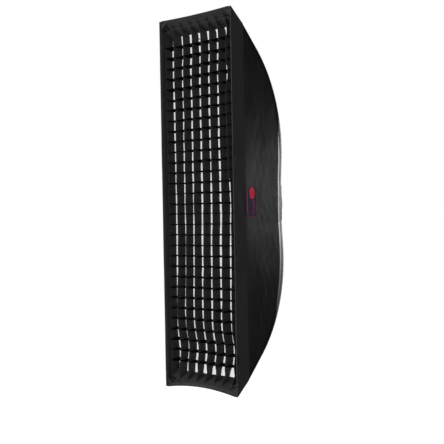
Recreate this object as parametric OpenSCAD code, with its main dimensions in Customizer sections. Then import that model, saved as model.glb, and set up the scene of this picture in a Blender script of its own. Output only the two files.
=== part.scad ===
// Strip softbox for a studio flash, with a recessed front, two diffusers and an egg-crate grid.
// Origin: on the speed ring's axis, on the face that seats on the flash head.
// -Y is the way the light leaves, +Y points at the flash head, Z is the long side.

/* [Softbox body] */
// Outside width of the front rim
box_w = 350; // [250:10:600]
// Outside height of the front rim
box_h = 1400; // [1000:20:1800]
// Depth from the rear collar to the front rim
box_depth = 434; // [340:2:560]
// Depth of the lip, from the front rim back to the diffuser ledge
lip_depth = 70; // [60:1:100]
// Half the side of the square rear opening, at the collar
collar_half = 80; // [79:1:100]
// Thickness of the panel cloth
cloth_t = 1; // [0.6:0.1:2]
// Thickness of the doubled lip cloth
lip_t = 1.6; // [1:0.1:3]
// Diameter of the rolled binding round the front rim
binding_d = 3; // [2:0.1:3.2]
// Diameter of the piping on the four long seams
piping_d = 4; // [3:0.5:6]

/* [Long seams] */
// Forward lean of the seams where they leave the collar, in degrees
seam_lean = 9; // [4:0.5:14]
// Straight run of the seams beside the collar
seam_run = 108; // [60:1:160]
// Radius that the bent rods give the seams
seam_bend_r = 644; // [560:2:760]

/* [Rods] */
// Diameter of the spring rods
rod_d = 5; // [4:0.5:8]
// Distance of a rod socket from the ring's axis, sideways
socket_x = 50; // [44:1:56]
// Distance of a rod socket from the ring's axis, along the long side
socket_z = 62; // [58:1:68]
// Length of rod end inside its socket
socket_depth = 24; // [16:1:30]
// Length of the steel ferrule on a rod's rear end
ferrule_l = 46; // [36:1:70]
// Length of the plastic tip on a rod's front end
tip_l = 24; // [16:1:40]
// Distance from the front rim back to the rod tips, along the axis
tip_inset = 9.2; // [8:0.1:16]

/* [Speed ring] */
// Outside diameter of the cast ring
ring_d = 152; // [148:0.5:156]
// Thickness of the cast ring along its axis
ring_t = 29; // [27:1:36]
// Bore of the cast ring
ring_bore_d = 120; // [118:0.5:124]
// Diameter of the seat for the insert's flange
seat_d = 138; // [134:0.5:141]
// Depth of that seat
seat_t = 8; // [6:0.5:9]
// Outside diameter of a rod socket boss
boss_d = 13; // [11:0.5:14]
// Running clearance between turning pieces, on the radius
run_gap = 0.1; // [0.05:0.05:0.3]
// Distance between faces that only meet loosely
loose_gap = 0.3; // [0.2:0.1:0.6]

/* [Bayonet insert] */
// Diameter of the opening for the flash tube
bayonet_bore_d = 92; // [86:1:94]
// Outside diameter of the bayonet spigot
spigot_d = 98; // [97:0.5:102]
// Length of the bayonet spigot
spigot_l = 9; // [8:0.5:14]
// Thickness of the bayonet ring's flange
bayonet_t = 3; // [2.5:0.5:5]
// Diameter across the three lugs
lug_d = 110; // [107:0.5:114]
// Angle that each lug spans
lug_angle = 40; // [30:1:50]
// Bore of the insert behind the bayonet ring
insert_bore_d = 100; // [96:1:102]

/* [Clamp screw] */
// Thread diameter of the clamp screw
clamp_d = 6; // [5:1:8]
// Diameter of the clamp knob
knob_d = 20; // [16:1:22]
// Thickness of the clamp knob
knob_t = 13; // [10:1:18]

/* [Diffusers] */
// Thickness of the diffuser cloth
sheet_t = 0.6; // [0.4:0.1:1]
// Width of the hook-and-loop ledge and tapes
tape_w = 22; // [16:1:30]
// Thickness of a hook or loop tape
tape_t = 1.2; // [1:0.1:2]
// Depth of the inner baffle behind the front rim
baffle_depth = 215; // [160:5:260]
// Half width of the inner baffle
baffle_half_w = 112; // [90:1:118]
// Width of the baffle's hem
hem_w = 12; // [8:1:20]
// Distance from the baffle's corner to the rod that holds it, along the long side
baffle_reach = 34; // [24:1:60]

/* [Grid] */
// Number of cells across
cells_x = 8; // [5:1:12]
// Pitch of the crossbars along the long side
cell_h = 40; // [30:1:60]
// Distance from the front rim to the grid's front edge
grid_inset = 26; // [20:1:40]
// Height of the cells along the axis
grid_t = 41; // [25:1:44]
// Thickness of a grid strip
strip_t = 1; // [0.6:0.1:1.5]
// Clearance between the grid's end borders and the lip, square to the lip
grid_end_gap = 12; // [10:0.5:16]

/* [Label] */
// Width of the label patch
label_w = 90; // [40:1:110]
// Height of the label patch
label_h = 107; // [60:1:160]
// Distance from the front rim to the middle of the patch
label_depth = 118; // [116:1:200]
// Thickness of the label patch
label_t = 1; // [0.6:0.1:2]

/* [Hidden] */
$fn = 96;
arc_steps = 16;

// ---- Stations along the axis ----
ring_rear_y = -bayonet_t;
ring_front_y = ring_rear_y - ring_t;
boss_clear = 0.5;
socket_y = ring_front_y + boss_d / 2 + boss_clear;
collar_t = 1.2;
collar_gap = 2.3;
elastic_d = 2.4;
elastic_gap = 0.1;
clamp_y = ring_rear_y - seat_t / 2;
clamp_boss_d = clamp_d + 4;
// The collar lies behind the rod bosses, and its elastic lies ahead of the clamp's boss.
collar_y = min(socket_y + boss_d / 2 + collar_gap + collar_t,
    clamp_y - clamp_boss_d / 2 - loose_gap - elastic_d - elastic_gap);
rim_y = collar_y - box_depth;
ledge_y = rim_y + lip_depth;
baffle_y = rim_y + baffle_depth;

// ---- Seam and rod curves ----
// They lie in a plane with u pointing from a rod socket to its corner and v pointing forward.
tip_d = rod_d + 4;
clip_d = rod_d + 5;
rod_gap = lip_t + max(tip_d, clip_d) / 2 + 0.6;
rod_corner_x = box_w / 2 - lip_t - tape_t - rod_d - 3;
tilt = atan2(rod_corner_x - socket_x, box_h / 2 - socket_z);
function heading(a) = [cos(a), sin(a)];
function outward(a) = [sin(a), -cos(a)];
function along(z) = (z - socket_z) / cos(tilt);
function up(u) = socket_z + u * cos(tilt);

bend_start = seam_run * heading(seam_lean);
bend_c = bend_start - seam_bend_r * outward(seam_lean);
corner = [along(box_h / 2), box_depth];

// Heading of the straight that touches a circle of radius r about bend_c and ends at p, or starts at p.
function heading_to(p, r) = let (w = p - bend_c) atan2(w[1], w[0]) + asin(r / norm(w));
function heading_from(p, r) = let (w = p - bend_c) atan2(w[1], w[0]) + 180 - asin(r / norm(w));

end_lean = heading_to(corner, seam_bend_r);
bend_end = bend_c + seam_bend_r * outward(end_lean);
lip_root = corner - lip_depth / sin(end_lean) * heading(end_lean);
lip_root_z = up(lip_root[0]);
// Slope of the lip's and the grid's ends, as a drop in height for each step back from the rim.
flare = (box_h / 2 - lip_root_z) / lip_depth;
flare_angle = atan(flare);

// The seam's outer face from the collar to the lip's root, each point with its heading.
seam_first = [along(collar_half), along(collar_half) * tan(seam_lean)];
seam_points = concat(
    [[seam_first, seam_lean]],
    [for (k = [0:arc_steps]) let (a = seam_lean + (end_lean - seam_lean) * k / arc_steps)
        [bend_c + seam_bend_r * outward(a), a]],
    [for (f = [0.35, 0.7, 0.93]) [bend_end + f * (lip_root - bend_end), end_lean]],
    [[lip_root, end_lean]]
);
function seam_z(s, inset = 0) = up((s[0] - inset * outward(s[1]))[0]);
function seam_y(s, inset = 0) = collar_y - (s[0] - inset * outward(s[1]))[1];
// The sheet's inner point behind a seam point. At the lip's root it keeps the same station.
function seam_inner_z(s) = s[0] == lip_root ? lip_root_z - cloth_t / cos(flare_angle) : seam_z(s, cloth_t);
function seam_inner_y(s) = s[0] == lip_root ? ledge_y : seam_y(s, cloth_t);
function seam_x(z) = z >= lip_root_z ? box_w / 2
    : collar_half + (box_w / 2 - collar_half) * (z - collar_half) / (lip_root_z - collar_half);

rod_r = seam_bend_r - rod_gap;
socket_uv = [0, collar_y - socket_y];
rod_lean = heading_from(socket_uv, rod_r);
rod_bend_start = bend_c + rod_r * outward(rod_lean);
rod_bend_end = bend_c + rod_r * outward(end_lean);
// From the corner back to a tip's end along the rod, so that the tip stands tip_inset behind the rim.
tip_back = (tip_inset + rod_gap * cos(end_lean) + tip_d / 2 * (1 - sin(end_lean))) / sin(end_lean);
rod_front = corner - rod_gap * outward(end_lean) - tip_back * heading(end_lean);
ferrule_wall = 1;
ferrule_d = rod_d + 2 * ferrule_wall;
fit_gap = 0.05;

// ---- Front opening ----
seam_gap = piping_d / 2 + loose_gap;
ledge_t = 1.2;
ledge_half_w = box_w / 2 - lip_t - loose_gap;
ledge_half_h = lip_root_z - cloth_t - 6;
corner_cut = 38;

// ---- Grid ----
loop_x = box_w / 2 - lip_t - tape_t - 0.1;
border_x = loop_x - tape_t - strip_t - 0.6;
cell_w = 2 * border_x / cells_x;
grid_front_y = rim_y + grid_inset;
grid_back_y = grid_front_y + grid_t;
// Height of the grid's end at depth d behind the rim, with g of clearance square to the lip.
function end_z(d, g) = box_h / 2 - d * flare - g / cos(flare_angle);
upright_gap = grid_end_gap + lip_t + strip_t + loose_gap;
bars_per_end = floor((end_z(grid_inset + grid_t, upright_gap) - 8) / cell_h);
lap_gap = 0.25;

// ---- Solids made of points ----

// A thin sheet between two grids of points, given as rows of equal length.
module skin(outer, inner) {
    n = len(outer);
    m = len(outer[0]);
    o = function (i, j) i * m + j;
    k = function (i, j) n * m + i * m + j;
    points = concat([for (row = outer) each row], [for (row = inner) each row]);
    faces = concat(
        [for (i = [0:n - 2], j = [0:m - 2]) each [
            [o(i, j), o(i + 1, j), o(i + 1, j + 1)], [o(i, j), o(i + 1, j + 1), o(i, j + 1)],
            [k(i, j), k(i + 1, j + 1), k(i + 1, j)], [k(i, j), k(i, j + 1), k(i + 1, j + 1)]]],
        [for (j = [0:m - 2]) each [
            [o(0, j), o(0, j + 1), k(0, j + 1)], [o(0, j), k(0, j + 1), k(0, j)],
            [o(n - 1, j + 1), o(n - 1, j), k(n - 1, j)],
            [o(n - 1, j + 1), k(n - 1, j), k(n - 1, j + 1)]]],
        [for (i = [0:n - 2]) each [
            [o(i + 1, 0), o(i, 0), k(i, 0)], [o(i + 1, 0), k(i, 0), k(i + 1, 0)],
            [o(i, m - 1), o(i + 1, m - 1), k(i + 1, m - 1)], [o(i, m - 1), k(i + 1, m - 1), k(i, m - 1)]]]
    );
    polyhedron(points, faces, convexity = 6);
}

// A round cord of diameter d along a list of points.
module cord(path, d, sides = 8) {
    n = len(path);
    ring = function (i) let (
        t = path[min(i + 1, n - 1)] - path[max(i - 1, 0)],
        a = cross(t, [1, 0, 0]) / norm(cross(t, [1, 0, 0])),
        b = cross(t, a) / norm(cross(t, a)))
        [for (s = [0:sides - 1]) path[i] + d / 2 * (cos(360 * s / sides) * a + sin(360 * s / sides) * b)];
    points = [for (i = [0:n - 1]) each ring(i)];
    id = function (i, s) i * sides + (s + sides) % sides;
    faces = concat(
        [[for (s = [0:sides - 1]) id(0, s)]],
        [for (i = [0:n - 2], s = [0:sides - 1]) each [
            [id(i, s), id(i + 1, s + 1), id(i, s + 1)], [id(i, s), id(i + 1, s), id(i + 1, s + 1)]]],
        [[for (s = [sides - 1:-1:0]) id(n - 1, s)]]
    );
    polyhedron(points, faces, convexity = 4);
}

// ---- Placing helpers ----

module at_four_corners() {
    for (mx = [0, 1], mz = [0, 1]) mirror([mx, 0, 0]) mirror([0, 0, mz]) children();
}

module both_sides() {
    for (mx = [0, 1]) mirror([mx, 0, 0]) children();
}

module both_ends() {
    for (mz = [0, 1]) mirror([0, 0, mz]) children();
}

// Maps X to u and Y to v in the plane of the upper right rod.
module in_rod_plane() {
    multmatrix([
        [sin(tilt), 0, cos(tilt), socket_x],
        [0, -1, 0, collar_y],
        [cos(tilt), 0, -sin(tilt), socket_z],
        [0, 0, 0, 1]
    ]) children();
}

// Places a child that stands along +Z at a point of the rod plane, heading along it.
module on_rod(p, a) {
    in_rod_plane() translate([p[0], p[1], 0]) rotate([0, 0, a]) rotate([0, 90, 0]) children();
}

// Turns a solid made about Z so that its axis is +Y, starting at station y.
module about_axis(y) {
    translate([0, y, 0]) rotate([-90, 0, 0]) children();
}

module tube(outer_d, inner_d, length) {
    difference() {
        cylinder(d = outer_d, h = length);
        translate([0, 0, -1]) cylinder(d = inner_d, h = length + 2);
    }
}

// A bar with its section in the Y-Z plane and its length along X.
module along_x(length) {
    translate([-length / 2, 0, 0]) rotate([90, 0, 90]) linear_extrude(length) children();
}

module cut_rectangle(half_w, half_h, cut) {
    polygon([
        [-half_w + cut, -half_h], [half_w - cut, -half_h], [half_w, -half_h + cut], [half_w, half_h - cut],
        [half_w - cut, half_h], [-half_w + cut, half_h], [-half_w, half_h - cut], [-half_w, -half_h + cut]
    ]);
}

// A flat frame square to the axis, with its rear face at station y.
module flat_frame(half_w, half_h, width, cut, y, thickness) {
    translate([0, y, 0]) rotate([90, 0, 0]) linear_extrude(thickness) difference() {
        cut_rectangle(half_w, half_h, cut);
        cut_rectangle(half_w - width, half_h - width, cut - 0.6 * width);
    }
}

module flat_sheet(half_w, half_h, cut, y, thickness) {
    translate([0, y, 0]) rotate([90, 0, 0]) linear_extrude(thickness) cut_rectangle(half_w, half_h, cut);
}

// ---- Speed ring ----

boss_l = socket_depth + 6;
// How far a boss's open end stands ahead of its socket's station.
boss_lead = 18;
boss_root = socket_uv + (boss_lead - boss_l) * heading(rod_lean);
socket_root = socket_uv + (boss_lead - socket_depth) * heading(rod_lean);
clamp_hole_d = clamp_d + 2 * fit_gap;
clamp_boss_rise = 3;

module outer_ring() {
    color("silver") difference() {
        union() {
            about_axis(ring_front_y) cylinder(d = ring_d, h = ring_t);
            at_four_corners() on_rod(boss_root, rod_lean) cylinder(d = boss_d, h = boss_l);
            translate([0, clamp_y, -ring_d / 2 - clamp_boss_rise]) cylinder(d = clamp_boss_d, h = 9);
        }
        about_axis(ring_front_y - 1) cylinder(d = ring_bore_d, h = ring_t + 2);
        about_axis(ring_rear_y - seat_t) cylinder(d = seat_d, h = seat_t + 1);
        at_four_corners() on_rod(socket_root, rod_lean) cylinder(d = ferrule_d + 2 * run_gap, h = boss_l);
        translate([0, clamp_y, -ring_d / 2 - clamp_boss_rise - 1])
            cylinder(d = clamp_hole_d, h = ring_d / 2 - 40);
    }
}

// ---- Bayonet insert, which turns in the ring ----

insert_front_y = ring_front_y - 1;
sleeve_d = ring_bore_d - 2 * run_gap;
flange_d = seat_d - 2 * run_gap;
retainer_t = 2.5;
retainer_d = ring_bore_d + 14;
retainer_pitch_r = (insert_bore_d + sleeve_d) / 4;
bayonet_flange_d = flange_d - 4;
bayonet_pitch_r = (lug_d + bayonet_flange_d) / 4;
screw_d = 3;
screw_head_d = 5.6;

module around(count, pitch_r, first = 0) {
    for (k = [0:count - 1]) rotate([0, first + 360 * k / count, 0]) translate([pitch_r, 0, 0]) children();
}

module insert_ring() {
    color("dimgray") difference() {
        union() {
            about_axis(ring_rear_y - seat_t + run_gap) cylinder(d = flange_d, h = seat_t - run_gap);
            about_axis(insert_front_y) cylinder(d = sleeve_d, h = seat_t + ring_t / 2);
        }
        about_axis(insert_front_y - 1) cylinder(d = insert_bore_d, h = ring_t + 4);
        around(6, bayonet_pitch_r) about_axis(ring_rear_y - 6) cylinder(d = screw_d + 2 * fit_gap, h = 8);
        around(4, retainer_pitch_r, 45) about_axis(insert_front_y - 1)
            cylinder(d = screw_d + 2 * fit_gap, h = 9);
    }
}

module bayonet_ring() {
    color("gainsboro") difference() {
        union() {
            about_axis(-bayonet_t) cylinder(d = bayonet_flange_d, h = bayonet_t);
            about_axis(-bayonet_t) cylinder(d = spigot_d, h = bayonet_t + spigot_l);
            for (k = [0:2]) rotate([0, 120 * k + 90 - lug_angle / 2, 0]) translate([0, spigot_l - 1, 0])
                rotate([90, 0, 0]) rotate_extrude(angle = lug_angle)
                    translate([spigot_d / 2 - 1, 0]) square([(lug_d - spigot_d) / 2 + 1, 3]);
        }
        about_axis(-bayonet_t - 1) cylinder(d = bayonet_bore_d, h = bayonet_t + spigot_l + 2);
        around(6, bayonet_pitch_r) {
            about_axis(-bayonet_t - 1) cylinder(d = screw_d + 2 * fit_gap, h = bayonet_t + 2);
            about_axis(-1.5) cylinder(d = screw_head_d + 2 * fit_gap, h = 2);
        }
        // Notch that takes the flash head's locking pin.
        translate([bayonet_flange_d / 2 - 3, -bayonet_t - 1, -2]) cube([5, bayonet_t + 2, 4]);
    }
}

module cap_screw(head_h, shank_l) {
    difference() {
        cylinder(d = screw_head_d, h = head_h);
        translate([0, 0, head_h - 0.9]) cylinder(d = 2.4, h = 1, $fn = 6);
    }
    translate([0, 0, -shank_l]) cylinder(d = screw_d, h = shank_l + 0.2);
}

module bayonet_screws() {
    color("darkgray") around(6, bayonet_pitch_r) about_axis(-1.5) cap_screw(1.4, 6);
}

module retainer_ring() {
    color("gainsboro") difference() {
        about_axis(insert_front_y - retainer_t) cylinder(d = retainer_d, h = retainer_t);
        about_axis(insert_front_y - retainer_t - 1) cylinder(d = insert_bore_d, h = retainer_t + 2);
        around(4, retainer_pitch_r, 45) about_axis(insert_front_y - retainer_t - 1)
            cylinder(d = screw_d + 2 * fit_gap, h = retainer_t + 2);
    }
}

module retainer_screws() {
    color("darkgray") around(4, retainer_pitch_r, 45)
        translate([0, insert_front_y - retainer_t, 0]) rotate([90, 0, 0]) cap_screw(2, 8);
}

module glide_washer() {
    washer_t = ring_front_y - insert_front_y - 2 * run_gap;
    color("ivory") about_axis(insert_front_y + run_gap)
        tube(retainer_d - 2, ring_bore_d + 2 * run_gap, washer_t);
}

// ---- Clamp screw, which locks the insert ----

pad_t = 2;
pad_top = -flange_d / 2 - fit_gap;
screw_top = pad_top - pad_t;
knob_neck = 3;
knob_floor = 2;
knob_top = -max(collar_half + 1, ring_d / 2 + clamp_boss_rise + knob_neck) - 2;

module clamp_pad() {
    color("goldenrod") translate([0, clamp_y, screw_top]) cylinder(d = clamp_d, h = pad_t);
}

module clamp_screw() {
    shank_l = screw_top - fit_gap - (knob_top - knob_t + knob_floor);
    color("silver") translate([0, clamp_y, screw_top - fit_gap - shank_l]) cylinder(d = clamp_d, h = shank_l);
}

module clamp_knob() {
    lobes = 6;
    color("black") translate([0, clamp_y, knob_top - knob_t]) difference() {
        union() {
            cylinder(d = 0.85 * knob_d, h = knob_t);
            for (k = [0:lobes - 1]) rotate(360 * k / lobes) translate([0.35 * knob_d, 0, 0])
                cylinder(d = 0.3 * knob_d, h = knob_t - 2);
            translate([0, 0, knob_t - 1]) cylinder(d = clamp_d + 4, h = knob_neck + 1);
        }
        translate([0, 0, knob_floor]) cylinder(d = clamp_d, h = knob_t + knob_neck);
    }
}

// ---- Rods ----

rod_back = socket_root + (run_gap + ferrule_wall + fit_gap) * heading(rod_lean);
band_l = 12;
band_t = 0.3;

module rod_band() {
    translate([0, 0, -band_l / 2]) cylinder(d = rod_d + 2 * band_t, h = band_l);
}

module rod() {
    color("darkslategray") union() {
        on_rod(rod_back, rod_lean) cylinder(d = rod_d, h = norm(rod_bend_start - rod_back));
        in_rod_plane() translate([bend_c[0], bend_c[1], 0]) rotate([0, 0, rod_lean - 90])
            rotate_extrude(angle = end_lean - rod_lean) translate([rod_r, 0]) circle(d = rod_d);
        on_rod(rod_bend_end, end_lean) cylinder(d = rod_d, h = norm(rod_front - rod_bend_end) - 3);
        // Shrunk-on bands, where the straight runs meet the bend.
        on_rod(rod_bend_start, rod_lean) rod_band();
        on_rod(rod_bend_end, end_lean) rod_band();
    }
}

module rod_upper_right() { rod(); }
module rod_upper_left() { mirror([1, 0, 0]) rod(); }
module rod_lower_right() { mirror([0, 0, 1]) rod(); }
module rod_lower_left() { mirror([1, 0, 0]) mirror([0, 0, 1]) rod(); }

module rod_ferrules() {
    color("lightgray") at_four_corners() on_rod(socket_root + run_gap * heading(rod_lean), rod_lean)
        difference() {
            cylinder(d = ferrule_d, h = ferrule_l);
            translate([0, 0, ferrule_wall]) cylinder(d = rod_d + 2 * fit_gap, h = ferrule_l);
        }
}

module rod_tips() {
    color("black") at_four_corners() on_rod(rod_front - tip_l * heading(end_lean), end_lean) difference() {
        union() {
            cylinder(d = tip_d, h = tip_l - tip_d / 2);
            translate([0, 0, tip_l - tip_d / 2]) sphere(d = tip_d);
        }
        translate([0, 0, -1]) cylinder(d = rod_d + 2 * fit_gap, h = tip_l - 1.5);
    }
}

// ---- Shell panels ----

module top_panel() {
    row = function (s, y, z) let (x = seam_x(seam_z(s)) - seam_gap) [[x, y, z], [-x, y, z]];
    color("#1c1c1e") skin([for (s = seam_points) row(s, seam_y(s), seam_z(s))],
        [for (s = seam_points) row(s, seam_inner_y(s), seam_inner_z(s))]);
}

module bottom_panel() { mirror([0, 0, 1]) top_panel(); }

// Rows of the right panel from the lower seam to the upper one: [height, rear x, rear y, seam heading].
side_rows = let (
    upper = [for (k = [0:len(seam_points) - 2]) let (s = seam_points[k], z = seam_z(s))
        [z, seam_x(z), seam_y(s), s[1]]],
    lower = [for (k = [len(upper) - 1:-1:0]) let (r = upper[k]) [-r[0], r[1], r[2], r[3]]])
    concat(lower, [[0, collar_half, seam_y(seam_points[0]), 0]], upper);

module side_panel_right() {
    front = function (r) [box_w / 2, ledge_y, r[0]];
    rear = function (r) let (f = front(r), b = [r[1], r[2], r[0]])
        b + seam_gap / cos(r[3]) * (f - b) / norm(f - b);
    in = [-cloth_t, 0, 0];
    color("#1c1c1e") skin([for (r = side_rows) [rear(r), front(r)]],
        [for (r = side_rows) [rear(r) + in, front(r) + in]]);
}

module side_panel_left() { mirror([1, 0, 0]) side_panel_right(); }

module seam_piping() {
    path = [for (k = [0:len(seam_points) - 2]) let (s = seam_points[k])
        [seam_x(seam_z(s)), seam_y(s), seam_z(s)]];
    color("#2a2a2c") at_four_corners() cord(path, piping_d);
}

// ---- Rear collar ----

collar_corner_r = 12;

module rounded_square(half, r) {
    square([2 * half, 2 * (half - r)], center = true);
    square([2 * (half - r), 2 * half], center = true);
    for (sx = [-1, 1], sz = [-1, 1]) translate([sx * (half - r), sz * (half - r)]) circle(r);
}

module rear_collar() {
    color("#1c1c1e") translate([0, collar_y, 0]) rotate([90, 0, 0]) linear_extrude(collar_t) difference() {
        rounded_square(collar_half + 1, collar_corner_r);
        circle(d = ring_d + 2 * loose_gap);
    }
}

module collar_elastic() {
    color("#101010") about_axis(collar_y + elastic_d / 2 + elastic_gap)
        rotate_extrude() translate([ring_d / 2 + elastic_d / 2 + loose_gap, 0]) circle(d = elastic_d);
}

// ---- Lip ----

lip_front = binding_d + loose_gap;
lip_back = lip_depth - loose_gap;

module lip_right() {
    height = function (d) end_z(d, loose_gap);
    color("#161618") translate([box_w / 2 - lip_t, 0, 0]) rotate([90, 0, 90]) linear_extrude(lip_t) polygon([
        [rim_y + lip_front, -height(lip_front)], [rim_y + lip_back, -height(lip_back)],
        [rim_y + lip_back, height(lip_back)], [rim_y + lip_front, height(lip_front)]
    ]);
}

module lip_left() { mirror([1, 0, 0]) lip_right(); }

module lip_top() {
    color("#161618") along_x(box_w - 2 * lip_t - 2 * loose_gap) polygon([
        [rim_y + lip_front, end_z(lip_front, 0)], [rim_y + lip_back, end_z(lip_back, 0)],
        [rim_y + lip_back, end_z(lip_back, lip_t)], [rim_y + lip_front, end_z(lip_front, lip_t)]
    ]);
}

module lip_bottom() { mirror([0, 0, 1]) lip_top(); }

module rim_binding() {
    inset = binding_d / 2;
    reach_z = box_h / 2 - inset;
    reach_x = box_w / 2 - binding_d - loose_gap;
    y = rim_y + inset;
    color("#202022") {
        both_sides() translate([box_w / 2 - inset, y, -box_h / 2]) cylinder(d = binding_d, h = box_h);
        both_ends() translate([-reach_x, y, reach_z]) rotate([0, 90, 0])
            cylinder(d = binding_d, h = 2 * reach_x);
    }
}

module corner_pockets() {
    thickness = 1.2;
    depth = tip_inset - 0.5 - thickness;
    reach_x = 30;
    reach_z = 24;
    x = box_w / 2 - lip_t - loose_gap;
    z = end_z(depth + thickness, lip_t + loose_gap);
    color("#202022") at_four_corners() translate([0, rim_y + depth + thickness, 0]) rotate([90, 0, 0])
        linear_extrude(thickness) polygon([[x, z], [x - reach_x, z], [x, z - reach_z]]);
}

module diffuser_ledge() {
    color("#161618")
        flat_frame(ledge_half_w, ledge_half_h, tape_w, corner_cut, ledge_y + ledge_t + loose_gap, ledge_t);
}

// The long strips of hook and loop that hold the grid's sides to the lips.
tape_inset = 6;
tape_half_l = 0.9 * end_z(grid_inset + grid_t, 0);

module long_tape(x) {
    color("#0c0c0c") both_sides() translate([x, grid_front_y + tape_inset, -tape_half_l])
        cube([tape_t, tape_w, 2 * tape_half_l]);
}

module lip_loop_tapes() { long_tape(loop_x); }

// ---- Diffusers ----

diffuser_half_w = loop_x - 0.4;
diffuser_half_h = ledge_half_h - loose_gap;
diffuser_y = ledge_y - loose_gap;

module front_diffuser() {
    color("white") flat_sheet(diffuser_half_w, diffuser_half_h, corner_cut, diffuser_y - tape_t, sheet_t);
}

module diffuser_hook_tape() {
    color("gainsboro") flat_frame(diffuser_half_w, diffuser_half_h, tape_w, corner_cut, diffuser_y, tape_t);
}

// Where a rod passes the baffle, as its heading, then as a point of its plane.
baffle_v = box_depth - baffle_depth;
baffle_bend = acos((bend_c[1] - baffle_v) / rod_r);
baffle_uv = baffle_bend < end_lean ? bend_c + rod_r * outward(baffle_bend)
    : rod_front - (rod_front[1] - baffle_v) / sin(end_lean) * heading(end_lean);
baffle_heading = min(baffle_bend, end_lean);
baffle_rod_x = socket_x + baffle_uv[0] * sin(tilt);
baffle_rod_z = up(baffle_uv[0]);
baffle_half_h = baffle_rod_z - baffle_reach;

module inner_baffle() {
    color("white") flat_sheet(baffle_half_w, baffle_half_h, 2, baffle_y, sheet_t);
}

module baffle_hem() {
    hem_t = 0.8;
    color("whitesmoke")
        flat_frame(baffle_half_w + 1, baffle_half_h + 1, hem_w, 2 + 0.6 * hem_w, baffle_y - sheet_t, hem_t);
}

clip_l = 9;
elastic_slack = 1;

module baffle_elastics() {
    elastic_w = 9;
    elastic_t = 1;
    from = [baffle_half_w - hem_w / 2, baffle_half_h - hem_w / 2];
    run = [baffle_rod_x, baffle_rod_z] - from;
    // The clip's outline in the baffle's plane, as seen along the elastic.
    askew = atan2(run[0], run[1]) - tilt;
    clip_half = min(clip_d / 2 / sin(baffle_heading), clip_l / 2 / cos(baffle_heading));
    length = norm(run) - norm([clip_half * cos(askew), clip_d / 2 * sin(askew)]) - elastic_slack;
    color("black") at_four_corners() translate([from[0], baffle_y + elastic_t, from[1]])
        rotate([0, -atan2(run[1], run[0]), 0]) translate([0, -elastic_t, -elastic_w / 2])
            cube([length, elastic_t, elastic_w]);
}

module baffle_clips() {
    color("black") at_four_corners() on_rod(baffle_uv - clip_l / 2 * heading(baffle_heading), baffle_heading)
        tube(clip_d, rod_d + 4 * fit_gap, clip_l);
}

// ---- Grid ----

// One edge of a notched strip, running along its length, as points of a comb-shaped outline.
function notched(positions, edge, depth, half_slot) =
    [for (p = positions) each [
        [p - half_slot, edge], [p - half_slot, depth], [p + half_slot, depth], [p + half_slot, edge]]];

half_slot = strip_t / 2 + lap_gap;
upright_xs = [for (i = [1:cells_x - 1]) -border_x + i * cell_w];
bar_zs = [for (j = [-bars_per_end:bars_per_end]) j * cell_h];
lap_y = (grid_front_y + grid_back_y) / 2;

// An upright is slotted from its front edge, and each crossbar from its rear edge.
module grid_uprights() {
    front_z = end_z(grid_inset, upright_gap);
    back_z = end_z(grid_inset + grid_t, upright_gap);
    outline = concat(
        [[-back_z, grid_back_y], [-front_z, grid_front_y]],
        notched(bar_zs, grid_front_y, lap_y + lap_gap, half_slot),
        [[front_z, grid_front_y], [back_z, grid_back_y]]
    );
    color("#0e0e0f") for (x = upright_xs) translate([x - strip_t / 2, 0, 0])
        rotate([0, -90, 0]) mirror([0, 0, 1]) linear_extrude(strip_t) polygon(outline);
}

module grid_crossbars() {
    reach = border_x - strip_t / 2 - lap_gap;
    outline = concat(
        [[-reach, grid_front_y], [-reach, grid_back_y]],
        notched(upright_xs, grid_back_y, lap_y - lap_gap, half_slot),
        [[reach, grid_back_y], [reach, grid_front_y]]
    );
    color("#0e0e0f") for (z = bar_zs) translate([0, 0, z - strip_t / 2])
        linear_extrude(strip_t) polygon(outline);
}

module grid_borders() {
    outer_gap = grid_end_gap + lip_t;
    inner_gap = outer_gap + strip_t;
    back = grid_inset + grid_t;
    front_z = end_z(grid_inset, outer_gap);
    back_z = end_z(back, outer_gap);
    color("#0e0e0f") {
        both_sides() translate([border_x - strip_t / 2, 0, 0]) rotate([90, 0, 90]) linear_extrude(strip_t)
            polygon([[grid_front_y, -front_z], [grid_back_y, -back_z],
                [grid_back_y, back_z], [grid_front_y, front_z]]);
        both_ends() along_x(2 * (border_x - strip_t / 2 - lap_gap)) polygon([
            [grid_front_y, front_z], [grid_back_y, back_z],
            [grid_back_y, end_z(back, inner_gap)], [grid_front_y, end_z(grid_inset, inner_gap)]]);
    }
}

module grid_hook_tapes() { long_tape(border_x + strip_t / 2 + 0.1); }

// Cloth gussets that tie each upright's ends to the lip.
module grid_end_tabs() {
    tab_t = 1;
    base = grid_end_gap + lip_t - 0.1;
    tip = lip_t + 1.5;
    rear = grid_inset + 14;
    color("#0e0e0f") both_ends() for (x = upright_xs) translate([x - tab_t / 2, 0, 0])
        rotate([90, 0, 90]) linear_extrude(tab_t) polygon([
            [rim_y + grid_inset, end_z(grid_inset, base)], [rim_y + rear, end_z(rear, base)],
            [rim_y + grid_inset - 6, end_z(grid_inset - 6, tip)],
            [rim_y + grid_inset - 12, end_z(grid_inset - 12, tip)]]);
}

// ---- Label ----

module label_patch() {
    rear = [collar_half, seam_y(seam_points[0])];
    slant = atan2(box_w / 2 - rear[0], rear[1] - ledge_y);
    stand_off = 0.4;
    centre = (label_depth - lip_depth) / cos(slant);
    color("#3a1018") translate([box_w / 2, ledge_y, 0]) rotate([0, 0, slant])
        translate([stand_off, centre - label_w / 2, -label_h / 2]) cube([label_t, label_w, label_h]);
}

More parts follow.
